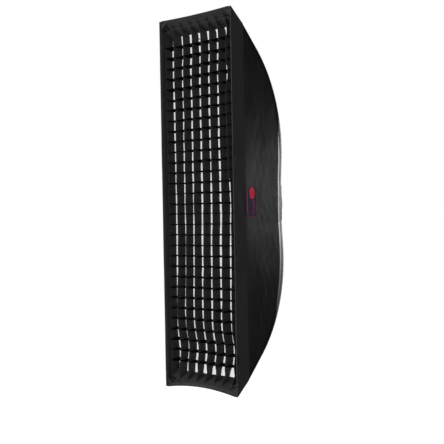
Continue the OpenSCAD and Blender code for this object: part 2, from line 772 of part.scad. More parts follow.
outer_ring();
insert_ring();
bayonet_ring();
bayonet_screws();
retainer_ring();
retainer_screws();
glide_washer();
clamp_pad();
clamp_screw();
clamp_knob();
rod_upper_right();
rod_upper_left();
rod_lower_right();
rod_lower_left();
rod_ferrules();
rod_tips();
side_panel_right();
side_panel_left();
top_panel();
bottom_panel();
seam_piping();
rear_collar();
collar_elastic();
lip_right();
lip_left();
lip_top();
lip_bottom();
rim_binding();
corner_pockets();
diffuser_ledge();
lip_loop_tapes();
front_diffuser();
diffuser_hook_tape();
inner_baffle();
baffle_hem();
baffle_elastics();
baffle_clips();
grid_uprights();
grid_crossbars();
grid_borders();
grid_hook_tapes();
grid_end_tabs();
label_patch();
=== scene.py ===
"""Strip softbox: cloth shell, egg-crate grid, diffusers, bent rods and a rotating speed ring."""

import logging
import math
import random
from dataclasses import dataclass, field
from enum import Enum

import bpy
import numpy as np
from mathutils import Matrix, Vector


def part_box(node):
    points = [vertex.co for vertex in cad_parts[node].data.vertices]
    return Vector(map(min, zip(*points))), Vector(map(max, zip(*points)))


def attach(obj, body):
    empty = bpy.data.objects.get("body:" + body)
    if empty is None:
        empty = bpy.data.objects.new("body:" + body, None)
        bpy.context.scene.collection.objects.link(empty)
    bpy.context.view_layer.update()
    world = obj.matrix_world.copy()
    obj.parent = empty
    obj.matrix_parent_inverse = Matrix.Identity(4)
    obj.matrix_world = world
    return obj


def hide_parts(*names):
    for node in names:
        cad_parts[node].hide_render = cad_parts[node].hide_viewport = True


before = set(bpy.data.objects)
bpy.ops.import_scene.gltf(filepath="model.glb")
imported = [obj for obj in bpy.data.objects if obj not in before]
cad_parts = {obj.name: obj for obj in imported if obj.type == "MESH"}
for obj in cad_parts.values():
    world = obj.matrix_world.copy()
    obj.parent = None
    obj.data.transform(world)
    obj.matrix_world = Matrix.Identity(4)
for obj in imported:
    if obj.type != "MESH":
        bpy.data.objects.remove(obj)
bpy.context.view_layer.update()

log = logging.getLogger("strip_softbox")
MM = 0.001
Colour = tuple[float, float, float]


class Body(Enum):
    """The rigid bodies that pieces ride on."""

    INSERT = "mount_insert"
    SOFTBOX = "softbox"
    DIFFUSER = "front_diffuser"
    GRID = "grid"


# ---------------------------------------------------------------- finishes


class Shader:
    """One node material, built round a principled shader."""

    def __init__(self, name: str) -> None:
        """Starts an empty material.

        Args:
            name: The material's name.
        """
        self.material = bpy.data.materials.new(name)
        self.material.use_nodes = True
        self.tree = self.material.node_tree
        self.surface = self.tree.nodes["Principled BSDF"]
        self.place = self.tree.nodes.new("ShaderNodeTexCoord").outputs["Object"]

    def add(self, kind: str, settings: dict | None = None, **inputs) -> bpy.types.Node:
        """Adds a node.

        Args:
            kind: The node's type, without its ShaderNode prefix.
            settings: Values for the node's own properties.
            **inputs: Values or sockets for its inputs, by name with _ for a space.

        Returns:
            The new node.
        """
        node = self.tree.nodes.new(f"ShaderNode{kind}")
        for key, value in (settings or {}).items():
            setattr(node, key, value)
        for key, value in inputs.items():
            self.feed(node.inputs[key.replace("_", " ")], value)
        return node

    def feed(self, socket: bpy.types.NodeSocket, value) -> None:
        """Links a socket to a socket, or sets its value."""
        if isinstance(value, bpy.types.NodeSocket):
            self.tree.links.new(value, socket)
        else:
            socket.default_value = value

    def cloud(self, size: float, detail: float = 3.0, rough: float = 0.5) -> bpy.types.NodeSocket:
        """Soft unevenness about size metres across, from 0 to 1."""
        node = self.add("TexNoise", Vector=self.place, Scale=1 / size, Detail=detail, Roughness=rough)
        return node.outputs["Fac"]

    def stripes(self, axis: str, pitch: float, wander: float = 0.0) -> bpy.types.NodeSocket:
        """Parallel ridges across an axis, pitch metres apart, from 0 to 1."""
        kinds = {"wave_type": "BANDS", "bands_direction": axis}
        node = self.add("TexWave", kinds, Vector=self.place, Scale=math.tau / 20 / pitch,
                        Distortion=wander, Detail=1.0)
        return node.outputs["Fac"]

    def rings(self, pitch: float) -> bpy.types.NodeSocket:
        """Turning marks round the Y axis, pitch metres apart, from 0 to 1."""
        kinds = {"wave_type": "RINGS", "rings_direction": "Y"}
        return self.add("TexWave", kinds, Vector=self.place, Scale=math.tau / 20 / pitch).outputs["Fac"]

    def total(self, first, second, work: str = "ADD") -> bpy.types.NodeSocket:
        """Adds, multiplies or otherwise joins two values."""
        node = self.add("Math", {"operation": work})
        self.feed(node.inputs[0], first)
        self.feed(node.inputs[1], second)
        return node.outputs[0]

    def spread(self, value, low: float, high: float, start: float = 0.0, end: float = 1.0):
        """Maps a value running from start to end on to the range low to high."""
        node = self.add("MapRange", Value=value)
        for key, number in {"From Min": start, "From Max": end, "To Min": low, "To Max": high}.items():
            node.inputs[key].default_value = number
        return node.outputs["Result"]

    def blend(self, share, first: Colour, second: Colour) -> bpy.types.NodeSocket:
        """Mixes two colours by a share from 0 to 1."""
        node = self.add("Mix", {"data_type": "RGBA"})
        self.feed(node.inputs["Factor"], share)
        self.feed(node.inputs[6], (*first, 1) if isinstance(first, tuple) else first)
        self.feed(node.inputs[7], (*second, 1))
        return node.outputs[2]

    def relief(self, height, depth: float, under=None) -> bpy.types.NodeSocket:
        """Raises the surface by a height from 0 to 1 times depth metres.

        Args:
            height: The relief, from 0 to 1.
            depth: Its depth in metres.
            under: A coarser relief's normal that this one lies on.

        Returns:
            The normal socket.
        """
        node = self.add("Bump", Strength=1.0, Distance=depth, Height=height)
        if under is not None:
            self.feed(node.inputs["Normal"], under)
        return node.outputs["Normal"]

    def set(self, **inputs) -> None:
        """Sets or links the principled shader's own sockets, by name with _ for a space."""
        for key, value in inputs.items():
            self.feed(self.surface.inputs[key.replace("_", " ")], value)


@dataclass(frozen=True)
class Finish:
    """What every finish has: a name, a main colour and a roughness."""

    name: str
    colour: Colour
    roughness: float = 0.6

    def dress(self, shader: Shader) -> None:
        """Fills in the material. Each kind of finish does this its own way."""
        raise NotImplementedError

    def material(self) -> bpy.types.Material:
        """Makes the material, or finds it if it was made before."""
        made = bpy.data.materials.get(self.name)
        if made is None:
            shader = Shader(self.name)
            self.dress(shader)
            made = shader.material
        return made


@dataclass(frozen=True)
class WovenCloth(Finish):
    """Cloth with a visible thread, soft creases, fading and a little fluff.

    Attributes:
        worn: The colour of rubbed and faded patches.
        thread: Distance between threads in metres.
        thread_depth: How far the threads stand out in metres.
        crease: Size of the soft creases in metres.
        crease_depth: Their depth in metres.
        sheen: Strength of the fluff's pale edge.
        gloss: Specular level.
        glow: Light given off, for white cloth lit from behind.
    """

    worn: Colour = (0.03, 0.03, 0.032)
    thread: float = 0.0009
    thread_depth: float = 0.00006
    crease: float = 0.05
    crease_depth: float = 0.0006
    sheen: float = 0.05
    gloss: float = 0.15
    glow: float = 0.0

    def dress(self, shader: Shader) -> None:
        """Weave on three axes over broad creases, with faded patches."""
        across = shader.total(shader.stripes("X", self.thread), shader.stripes("Y", self.thread))
        weave = shader.spread(shader.total(across, shader.stripes("Z", self.thread)), 0, 1, 0, 3)
        creases = shader.relief(shader.cloud(self.crease, 4.0, 0.55), self.crease_depth)
        patches = shader.cloud(0.16, 5.0, 0.6)
        shade = shader.blend(shader.spread(patches, 0, 0.8, 0.35, 0.75), self.colour, self.worn)
        shader.set(
            Base_Color=shader.blend(shader.spread(weave, 0, 0.25), shade, self.worn),
            Roughness=shader.spread(shader.cloud(0.03, 4.0), self.roughness - 0.07, self.roughness + 0.07),
            Normal=shader.relief(weave, self.thread_depth, creases),
            Specular_IOR_Level=self.gloss,
            Sheen_Weight=self.sheen,
            Sheen_Roughness=0.45,
        )
        # Painted glow, for cloth lit from behind.
        if self.glow:
            shader.set(Emission_Color=(1, 0.995, 0.98, 1), Emission_Strength=self.glow)


@dataclass(frozen=True)
class RibbedTape(Finish):
    """Narrow tape with ribs across it: grosgrain, elastic or piping.

    Attributes:
        rib: Distance between ribs in metres.
        depth: Height of the ribs in metres.
        axes: The axes that the ribs cross.
        sheen: Strength of the fluff's pale edge.
        gloss: Specular level.
    """

    rib: float = 0.0015
    depth: float = 0.00015
    axes: str = "XZ"
    sheen: float = 0.05
    gloss: float = 0.02

    def dress(self, shader: Shader) -> None:
        """Ribs, with wear on their crowns."""
        ribs = shader.stripes(self.axes[0], self.rib)
        for axis in self.axes[1:]:
            ribs = shader.total(ribs, shader.stripes(axis, self.rib), "MULTIPLY")
        pale = tuple(2.1 * part + 0.004 for part in self.colour)
        wear = shader.total(ribs, shader.spread(shader.cloud(0.02, 4.0), 0.1, 0.9), "MULTIPLY")
        shader.set(
            Base_Color=shader.blend(wear, self.colour, pale),
            Roughness=shader.spread(ribs, self.roughness + 0.08, self.roughness - 0.06),
            Normal=shader.relief(ribs, self.depth, shader.relief(shader.cloud(0.004), 0.0002)),
            Specular_IOR_Level=self.gloss,
            Sheen_Weight=self.sheen,
        )


@dataclass(frozen=True)
class PileTape(Finish):
    """Hook-and-loop tape.

    Attributes:
        pile: Size of a loop or hook in metres.
        depth: Height of the pile in metres.
    """

    pile: float = 0.0011
    depth: float = 0.0005

    def dress(self, shader: Shader) -> None:
        """Cells for the hooks or loops, matted in places."""
        cells = shader.add("TexVoronoi", Vector=shader.place, Scale=1 / self.pile).outputs["Distance"]
        matted = shader.cloud(0.012, 4.0)
        pale = tuple(1.8 * part + 0.006 for part in self.colour)
        shader.set(
            Base_Color=shader.blend(shader.total(cells, matted, "MULTIPLY"), self.colour, pale),
            Roughness=shader.spread(matted, self.roughness, 0.98),
            Normal=shader.relief(cells, self.depth, shader.relief(matted, 0.0006)),
            Specular_IOR_Level=0.12,
            Sheen_Weight=0.12,
        )


@dataclass(frozen=True)
class Metal(Finish):
    """Cast, turned or plated metal.

    Attributes:
        grain: Size of the casting's or blasting's grain in metres.
        grain_depth: Its depth in metres.
        turned: Distance between turning marks in metres, or 0 for none.
        marks: The colour of scuffs and handling marks.
    """

    grain: float = 0.0012
    grain_depth: float = 0.00005
    turned: float = 0.0
    marks: Colour = (0.35, 0.35, 0.36)

    def dress(self, shader: Shader) -> None:
        """Grain or turning marks, with scuffs that change colour and gloss."""
        scuffs = shader.spread(shader.cloud(0.018, 7.0, 0.7), 0, 0.7, 0.5, 0.72)
        normal = shader.relief(shader.cloud(self.grain, 3.0), self.grain_depth)
        if self.turned:
            normal = shader.relief(shader.rings(self.turned), 0.00003, normal)
        shader.set(
            Base_Color=shader.blend(scuffs, self.colour, self.marks),
            Roughness=shader.spread(scuffs, self.roughness, self.roughness + 0.18),
            Normal=normal,
            Metallic=1.0,
        )


@dataclass(frozen=True)
class Moulding(Finish):
    """Moulded, drawn or cut plastic and rubber.

    Attributes:
        texture: Size of the spark-eroded grain in metres.
        texture_depth: Its depth in metres.
        scuffed: The colour of scuffed places.
        gloss: Specular level.
    """

    texture: float = 0.0006
    texture_depth: float = 0.00004
    scuffed: Colour = (0.07, 0.07, 0.072)
    gloss: float = 0.4

    def dress(self, shader: Shader) -> None:
        """A fine moulded grain, paler where it is scuffed."""
        scuffs = shader.spread(shader.cloud(0.01, 6.0, 0.7), 0, 0.6, 0.55, 0.75)
        shader.set(
            Base_Color=shader.blend(scuffs, self.colour, self.scuffed),
            Roughness=shader.spread(scuffs, self.roughness, self.roughness + 0.2),
            Normal=shader.relief(shader.cloud(self.texture, 2.0), self.texture_depth),
            Specular_IOR_Level=self.gloss,
        )


@dataclass(frozen=True)
class SilverLining(Finish):
    """The crinkled silver coating inside the shell.

    Attributes:
        crinkle: Size of the crinkles in metres.
    """

    crinkle: float = 0.012

    def dress(self, shader: Shader) -> None:
        """Crinkled foil, duller along its folds."""
        cells = shader.add("TexVoronoi", {"feature": "SMOOTH_F1"}, Vector=shader.place,
                           Scale=1 / self.crinkle).outputs["Distance"]
        fine = shader.relief(shader.cloud(0.003, 4.0), 0.0001)
        shader.set(
            Base_Color=shader.blend(shader.cloud(0.04, 4.0), self.colour, (0.5, 0.5, 0.51)),
            Roughness=shader.spread(cells, self.roughness, self.roughness + 0.15),
            Normal=shader.relief(cells, 0.0008, fine),
            Metallic=0.8,
        )


SHELL = WovenCloth("shell_nylon", (0.0026, 0.0026, 0.0028), 0.4, worn=(0.0046, 0.0046, 0.005), sheen=0.0,
                   gloss=0.006)
# Painted light: the shell's nylon made four times lighter on the lips' outsides, so that they look as lit as
# the panels beside them.
LIP_OUTSIDE_PAINTED_LIGHT = WovenCloth("lip_outside_painted_light_nylon", (0.0105, 0.0105, 0.011), 0.4, worn=(0.0145, 0.0145, 0.015),
                         sheen=0.0, gloss=0.006)
# Painted shade: the grid's cloth made darker on the crossbars, so that their edges and undersides stay dark.
CROSSBAR_PAINTED_SHADE = WovenCloth("crossbar_painted_shade_cloth", (0.0016, 0.0016, 0.0017), 0.8, worn=(0.0026, 0.0026, 0.0027),
                      crease=0.018, crease_depth=0.0007, gloss=0.003, sheen=0.0, thread=0.0011,
                      thread_depth=0.0001)
# Painted highlight: a lighter, glossier copy of the shell's nylon, for the band along the side panels' rear
# edges.
PAINTED_HIGHLIGHT = WovenCloth("painted_highlight_nylon", (0.012, 0.012, 0.0125), 0.36, worn=(0.02, 0.02, 0.021), sheen=0.0, gloss=0.27)
# Rougher black nylon for the lips' insides, the collar and the rod pockets, made much lighter than the shell:
# painted light for the light that reaches into the recess.
LIP_PAINTED_LIGHT = WovenCloth("lip_nylon_painted_light", (0.02, 0.02, 0.0206), 0.6, worn=(0.034, 0.034, 0.035), crease=0.03,
                 crease_depth=0.0009, gloss=0.05, sheen=0.008)
GRID = WovenCloth("grid_cloth", (0.0032, 0.0032, 0.0034), 0.7, worn=(0.006, 0.006, 0.0062), crease=0.018,
                  crease_depth=0.0007, gloss=0.008, sheen=0.0, thread=0.0011, thread_depth=0.0001)
# The front diffuser's glow is painted light, standing in for light coming through the cloth from behind.
WHITE = WovenCloth("diffuser_nylon", (0.86, 0.86, 0.855), 0.75, worn=(0.8, 0.8, 0.79), crease=0.06,
                   crease_depth=0.001, gloss=0.2, sheen=0.02, glow=0.55)
BAFFLE = WovenCloth("baffle_nylon", (0.84, 0.84, 0.83), 0.75, worn=(0.78, 0.78, 0.77), crease=0.08,
                    crease_depth=0.0012, gloss=0.2, sheen=0.02)
SILVER = SilverLining("silver_lining", (0.66, 0.66, 0.67), 0.32)
BINDING = RibbedTape("binding_tape", (0.0026, 0.0026, 0.0028), 0.75, sheen=0.0, gloss=0.008)
PIPING = RibbedTape("seam_piping", (0.006, 0.006, 0.0065), 0.6, rib=0.0022, axes="Z", sheen=0.3)
ELASTIC = RibbedTape("black_elastic", (0.008, 0.008, 0.008), 0.75, rib=0.0012, axes="XZ")
LOOPS = PileTape("loop_tape", (0.007, 0.007, 0.0075), 0.9)
HOOKS = PileTape("hook_tape", (0.008, 0.008, 0.0085), 0.8, pile=0.0015)
WHITE_TAPE = PileTape("white_tape", (0.7, 0.7, 0.69), 0.85)
THREAD = RibbedTape("black_thread", (0.016, 0.016, 0.017), 0.55, rib=0.0006, axes="XYZ")
PALE_THREAD = RibbedTape("white_thread", (0.7, 0.7, 0.68), 0.6, rib=0.0006, axes="XYZ")
BADGE = WovenCloth("badge_ground", (0.006, 0.006, 0.017), 0.7, worn=(0.01, 0.01, 0.026), thread=0.0005,
                   crease_depth=0.0001, gloss=0.02, sheen=0.0)
BADGE_EDGE = RibbedTape("badge_edge", (0.06, 0.006, 0.02), 0.6, rib=0.0009, axes="YZ", sheen=0.0)
BADGE_RED = RibbedTape("badge_red", (0.3, 0.006, 0.014), 0.6, rib=0.0007, axes="Z", sheen=0.0)

CAD_FINISHES: dict[Finish, tuple[str, ...]] = {
    Metal("cast_aluminium", (0.5, 0.505, 0.515), 0.42, grain=0.0009, grain_depth=0.00008): ("outer_ring",),
    Metal("black_anodising", (0.035, 0.035, 0.038), 0.38, turned=0.0004, marks=(0.09, 0.09, 0.09)):
        ("insert_ring",),
    Metal("turned_steel", (0.6, 0.6, 0.61), 0.25, turned=0.0005, marks=(0.4, 0.4, 0.41)):
        ("bayonet_ring", "retainer_ring", "rod_ferrules"),
    Metal("plated_screws", (0.68, 0.68, 0.7), 0.18, grain=0.0004, grain_depth=0.00001):
        ("bayonet_screws", "retainer_screws", "clamp_screw"),
    Metal("turned_brass", (0.62, 0.45, 0.2), 0.3, marks=(0.4, 0.28, 0.13)): ("clamp_pad",),
    Moulding("knob_plastic", (0.016, 0.016, 0.017), 0.5): ("clamp_knob", "baffle_clips"),
    Moulding("white_nylon", (0.78, 0.76, 0.7), 0.45, scuffed=(0.6, 0.58, 0.53)): ("glide_washer",),
    Moulding("glass_fibre", (0.03, 0.03, 0.032), 0.35, texture=0.0003, scuffed=(0.09, 0.09, 0.085)):
        ("rod_upper_right", "rod_upper_left", "rod_lower_right", "rod_lower_left"),
    Moulding("black_rubber", (0.012, 0.012, 0.012), 0.75, texture=0.001, gloss=0.25): ("rod_tips",),
}


# ---------------------------------------------------------------- mesh making

X, Y, Z = np.eye(3)
SIDES = {1: "right", -1: "left"}
ENDS = {1: "upper", -1: "lower"}
CORNERS = [(right, up) for right in (1, -1) for up in (1, -1)]
PROUD = 0.1 * MM
WAVES = 7
SHARP_ANGLE = math.radians(50)
STITCH = np.array([(-0.5, -0.5, -0.4), (0.5, -0.5, -0.4), (0.5, 0.5, -0.4), (-0.5, 0.5, -0.4),
                   (-0.32, -0.3, 1), (0.32, -0.3, 1), (0.32, 0.3, 1), (-0.32, 0.3, 1)])
STITCH_FACES = [(0, 3, 2, 1), (4, 5, 6, 7), (0, 1, 5, 4), (1, 2, 6, 5), (2, 3, 7, 6), (3, 0, 4, 7)]


def uneven(u: np.ndarray, v: np.ndarray | float, size: float, seed: int) -> np.ndarray:
    """Smooth, repeatable unevenness, mostly between -1 and 1, from a few crossing waves.

    Args:
        u: First coordinate in metres.
        v: Second coordinate in metres.
        size: Typical length of a swell in metres.
        seed: Which pattern.

    Returns:
        The values, in the shape of u and v together.
    """
    dice = random.Random(seed)
    total = np.zeros(np.broadcast(u, v).shape)
    for _ in range(WAVES):
        angle, stretch, phase = dice.uniform(0, math.tau), dice.uniform(0.6, 1.7), dice.uniform(0, math.tau)
        along = u * math.cos(angle) + v * math.sin(angle)
        total += np.sin(math.tau * stretch * along / size + phase)
    return total / math.sqrt(WAVES)


def bump_at(value: np.ndarray, middle: float, width: float) -> np.ndarray:
    """A smooth hump of height 1 round middle."""
    return np.exp(-(((value - middle) / width) ** 2))


def window(value: np.ndarray, start: float, end: float, soft: float) -> np.ndarray:
    """1 between start and end and 0 outside, with soft edges."""
    rise = 1 / (1 + np.exp(-(value - start) / soft))
    return rise / (1 + np.exp((value - end) / soft))


def ramp(value: np.ndarray, start: float, reach: float) -> np.ndarray:
    """0 up to start, rising to 1 at reach past it."""
    return np.clip((value - start) / reach, 0, 1)


def unit(vectors: np.ndarray) -> np.ndarray:
    """Vectors of length 1."""
    return vectors / np.maximum(np.linalg.norm(vectors, axis=-1, keepdims=True), 1e-12)


def turns_of(number: int) -> np.ndarray:
    """Angles spread evenly over one turn."""
    return np.linspace(0, math.tau, number, endpoint=False)


def grids(rows: np.ndarray, columns: np.ndarray) -> list[np.ndarray]:
    """Two grids of values, one that changes from row to row and one along the columns."""
    return np.meshgrid(rows, columns, indexing="ij")


def points_at(x: np.ndarray | float, y: np.ndarray | float, z: np.ndarray | float) -> np.ndarray:
    """Points from their coordinates, each an array or one value for all."""
    return np.stack(np.broadcast_arrays(x, y, z), axis=-1)


def lengths_along(path: np.ndarray) -> np.ndarray:
    """How far each point of a path lies from its start."""
    return np.concatenate([[0], np.cumsum(np.linalg.norm(np.diff(path, axis=0), axis=1))])


def read_at(stations: np.ndarray, places: np.ndarray, rows: np.ndarray) -> np.ndarray:
    """Rows that are given at some places, read off at other stations."""
    return np.stack([np.interp(stations, places, column) for column in rows.T], axis=-1)


def evenly(path: np.ndarray, pitch: float) -> np.ndarray:
    """Points pitch metres apart along a path."""
    lengths = lengths_along(path)
    return read_at(np.arange(pitch / 2, lengths[-1], pitch), lengths, path)


def set_down(name: str, data: bpy.types.ID) -> bpy.types.Object:
    """Puts a camera, a light or a mesh into the scene."""
    made = bpy.data.objects.new(name, data)
    bpy.context.scene.collection.objects.link(made)
    return made


@dataclass
class Piece:
    """A piece in the making.

    Attributes:
        name: The piece's name.
        finishes: Its finishes, in the order of their numbers.
        corners: Its corners so far.
        faces: Its faces so far.
        finish_of: The finish number of each face.
        count: How many corners it has so far.
    """

    name: str
    finishes: tuple[Finish, ...]
    corners: list[np.ndarray] = field(default_factory=list)
    faces: list[tuple[int, ...]] = field(default_factory=list)
    finish_of: list[int] = field(default_factory=list)
    count: int = 0

    def put(self, points: np.ndarray, faces: list, finish: int | list[int] = 0) -> None:
        """Adds corners and faces.

        Args:
            points: New corners, one row each.
            faces: Faces over those corners, numbered from 0.
            finish: Their finish number, or one number for each face.
        """
        self.corners.append(points)
        self.faces += [tuple(self.count + k for k in face) for face in faces]
        self.finish_of += finish if isinstance(finish, list) else [finish] * len(faces)
        self.count += len(points)

    def cloth(self, points: np.ndarray, thickness: float, front: int = 0, back: int = 0,
              middle: bool = False) -> None:
        """Adds a sheet with a real thickness.

        Args:
            points: A grid of points on the sheet's face, rows by columns by 3.
            thickness: How far the back lies behind the face.
            front: Finish number of the face.
            back: Finish number of the back.
            middle: Whether the points lie in the middle of the thickness.
        """
        normals = unit(np.cross(np.gradient(points, axis=0), np.gradient(points, axis=1)))
        face = points + normals * (thickness / 2 if middle else 0)
        rear = face - normals * thickness
        at = np.arange(points[..., 0].size).reshape(points.shape[:2])
        quads = np.stack([at[:-1, :-1], at[1:, :-1], at[1:, 1:], at[:-1, 1:]], axis=-1).reshape(-1, 4)
        backs = at.size + quads[:, ::-1]
        edge = np.concatenate([at[:-1, 0], at[-1, :-1], at[:0:-1, -1], at[0, :0:-1]])
        after = np.roll(edge, -1)
        rims = np.stack([after, edge, at.size + edge, at.size + after], axis=-1)
        self.put(np.concatenate([face.reshape(-1, 3), rear.reshape(-1, 3)]),
                 np.concatenate([quads, backs, rims]).tolist(),
                 [front] * len(quads) + [back] * len(backs) + [front] * len(rims))

    def rope(self, path: np.ndarray, radius: float, sides: int = 8, finish: int = 0, closed: bool = False,
             flatten: float = 1.0, flat_way: np.ndarray = Y) -> None:
        """Adds a round or oval cord along a path.

        Args:
            path: Its centre line.
            radius: Half its width in metres.
            sides: Faces round it.
            finish: Finish number.
            closed: Whether it joins up with its own start.
            flatten: Its thickness as a share of its width.
            flat_way: The way that it is flattened.
        """
        if closed:
            ahead = unit(np.roll(path, -1, axis=0) - np.roll(path, 1, axis=0))
        else:
            ahead = unit(np.gradient(path, axis=0))
        across = unit(np.cross(ahead, flat_way))[:, None]
        up = np.cross(across, ahead[:, None])
        turns = turns_of(sides)[None, :, None]
        points = path[:, None] + radius * (np.cos(turns) * across + np.sin(turns) * up * flatten)
        rings = np.arange(len(path) * sides).reshape(-1, sides)
        ends = [] if closed else [rings[0, ::-1].tolist(), rings[-1].tolist()]
        if closed:
            rings = np.concatenate([rings, rings[:1]])
        beside = np.roll(rings, -1, axis=1)
        walls = np.stack([rings[:-1], beside[:-1], beside[1:], rings[1:]], axis=-1).reshape(-1, 4)
        self.put(points.reshape(-1, 3), walls.tolist() + ends, finish)

    def folded_strip(self, points: np.ndarray, front: np.ndarray, thickness: float, hem: float,
                     pitch: float = 5 * MM, flat_way: np.ndarray = Y) -> None:
        """Adds a strip of cloth with its front edge folded over.

        Args:
            points: A grid of points in the middle of the strip.
            front: The points of its front edge.
            thickness: The strip's thickness.
            hem: Radius of the fold.
            pitch: Distance between the fold's points.
            flat_way: A way square to the front edge.
        """
        self.cloth(points, thickness, middle=True)
        self.rope(evenly(front + hem * Y, pitch), hem, 6, flat_way=flat_way)

    def stitches(self, path: np.ndarray, out: np.ndarray, finish: int = 0, pitch: float = 4.2 * MM,
                 length: float = 3 * MM, width: float = 0.8 * MM, height: float = 0.5 * MM) -> None:
        """Adds a row of stitches along a path.

        Args:
            path: The row's line, on the cloth's surface.
            out: The way out of the cloth, for the whole row or for each point of the path.
            finish: Finish number of the thread.
            pitch: Distance between stitches.
            length: Length of one stitch.
            width: Width of one stitch.
            height: How far it stands out.
        """
        lengths = lengths_along(path)
        stations = np.arange(pitch / 2, lengths[-1], pitch)
        if len(stations) < 2:
            return
        middles = read_at(stations, lengths, path)
        ahead = unit(np.gradient(middles, axis=0))
        rise = unit(read_at(stations, lengths, np.broadcast_to(out, path.shape)))
        for place, *ways in zip(middles, ahead, np.cross(ahead, rise), rise):
            self.put(place + (STITCH * (length, width, height)) @ np.array(ways), STITCH_FACES, finish)

    def finish(self, body: Body, slot: str, *replaces: str) -> bpy.types.Object:
        """Makes the Blender object.

        Args:
            body: The body that it rides on.
            slot: Not used.
            *replaces: CAD nodes that it stands for.

        Returns:
            The object.
        """
        mesh = bpy.data.meshes.new(self.name)
        mesh.from_pydata(np.concatenate(self.corners).tolist(), [], self.faces)
        for finish in self.finishes:
            mesh.materials.append(finish.material())
        mesh.polygons.foreach_set("material_index", self.finish_of)
        mesh.update()
        piece = set_down(self.name, mesh)
        mesh.shade_smooth()
        mesh.set_sharp_from_angle(angle=SHARP_ANGLE)
        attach(piece, body.value)
        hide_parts(*replaces)
        log.info("%s: %d faces on %s", self.name, len(self.faces), body.value)
        return piece


def side_tapes(piece: Piece, node: str, inset: float, facing: int, waves: tuple[float, float, int],
               proud: float, height: float) -> None:
    """Adds a long tape on each side, with a row of stitches along each of its edges.

    Args:
        piece: The piece to add them to.
        node: The CAD node that gives their place.
        inset: From that node's outside to the tape's outside.
        facing: 1 if the stitches face out and -1 if they face the middle.
        waves: Depth and length of the tape's waves, and which pattern.
        proud: How far off the tape the stitches start.
        height: How far they stand out.
    """
    low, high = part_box(node)
    depth, length, seed = waves
    for sign in (1, -1):
        z, y = grids(np.linspace(low[2], high[2], 181), np.linspace(low[1], high[1], 7))
        points = points_at(sign * (high[0] - inset + depth * uneven(z, y, length, seed + sign)), y, z)
        piece.cloth(points[:, ::sign], 0.9 * MM)
        for column in (1, -2):
            outward = facing * sign * X
            piece.stitches(points[:, column] + proud * outward, outward, 1, height=height)


# ---------------------------------------------------------------- the shell's shape


@dataclass(frozen=True)
class Layout:
    """Where the frame puts the softbox's main edges, in metres."""

    half_w: float
    half_h: float
    rim_y: float
    ledge_y: float
    root_z: float
    collar_half: float
    collar_y: float

    @classmethod
    def from_frame(cls) -> "Layout":
        """Reads the edges off the CAD nodes' boxes."""
        rim_low, rim_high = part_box("rim_binding")
        top_low, top_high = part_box("top_panel")
        collar_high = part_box("rear_collar")[1]
        return cls(rim_high[0], rim_high[2], rim_low[1], top_low[1], top_high[2], top_low[2], collar_high[1])

    @property
    def lip_depth(self) -> float:
        """From the rim back to the ledge."""
        return self.ledge_y - self.rim_y

    @property
    def flare(self) -> float:
        """How much the top falls for each metre back from the rim, at the lip."""
        return (self.half_h - self.root_z) / self.lip_depth

    def seam_x(self, z: np.ndarray) -> np.ndarray:
        """Half width of the back at a height."""
        share = ramp(np.abs(z), self.collar_half, self.root_z - self.collar_half)
        return self.collar_half + (self.half_w - self.collar_half) * share


@dataclass(frozen=True)
class SeamCurve:
    """The long seams: a short straight, a long bend over the rods, and a straight to the rim.

    Attributes:
        layout: The shell's main edges.
        lean: Forward lean at the collar in degrees.
        run: Straight run beside the collar.
        bend: Radius of the bend.
        socket_x: A rod socket's distance from the axis, sideways.
        socket_z: The same, along the long side.
        corner_x: A rod tip's distance from the middle, sideways.
    """

    layout: Layout
    lean: float = 9.0
    run: float = 0.108
    bend: float = 0.644
    socket_x: float = 0.050
    socket_z: float = 0.062
    corner_x: float = 0.1642

    def table(self) -> np.ndarray:
        """Height and station along the seam, from the collar to the lip's root."""
        box = self.layout
        tilt = math.atan2(self.corner_x - self.socket_x, box.half_h - self.socket_z)
        lean = math.radians(self.lean)
        start = np.array([math.cos(lean), math.sin(lean)]) * self.run
        centre = start - self.bend * np.array([math.sin(lean), -math.cos(lean)])
        corner = np.array([(box.half_h - self.socket_z) / math.cos(tilt), box.collar_y - box.rim_y])
        reach = corner - centre
        end = math.atan2(reach[1], reach[0]) + math.asin(self.bend / math.hypot(*reach))
        near = np.linspace((box.collar_half - self.socket_z) / math.cos(tilt), start[0], 30)
        angles = np.linspace(lean, end, 200)
        curve = centre + self.bend * np.stack([np.sin(angles), -np.cos(angles)], axis=1)
        last = corner - box.lip_depth / math.sin(end) * np.array([math.cos(end), math.sin(end)])
        straight = np.stack([near, near * math.tan(lean)], axis=1)
        flat = np.concatenate([straight[:-1], curve[:-1], np.linspace(curve[-1], last, 40)])
        return np.stack([self.socket_z + flat[:, 0] * math.cos(tilt), box.collar_y - flat[:, 1]], axis=1)

    def at(self, z: np.ndarray | float) -> np.ndarray:
        """The seam's station at a height."""
        return np.interp(np.abs(z), *self.table().T)


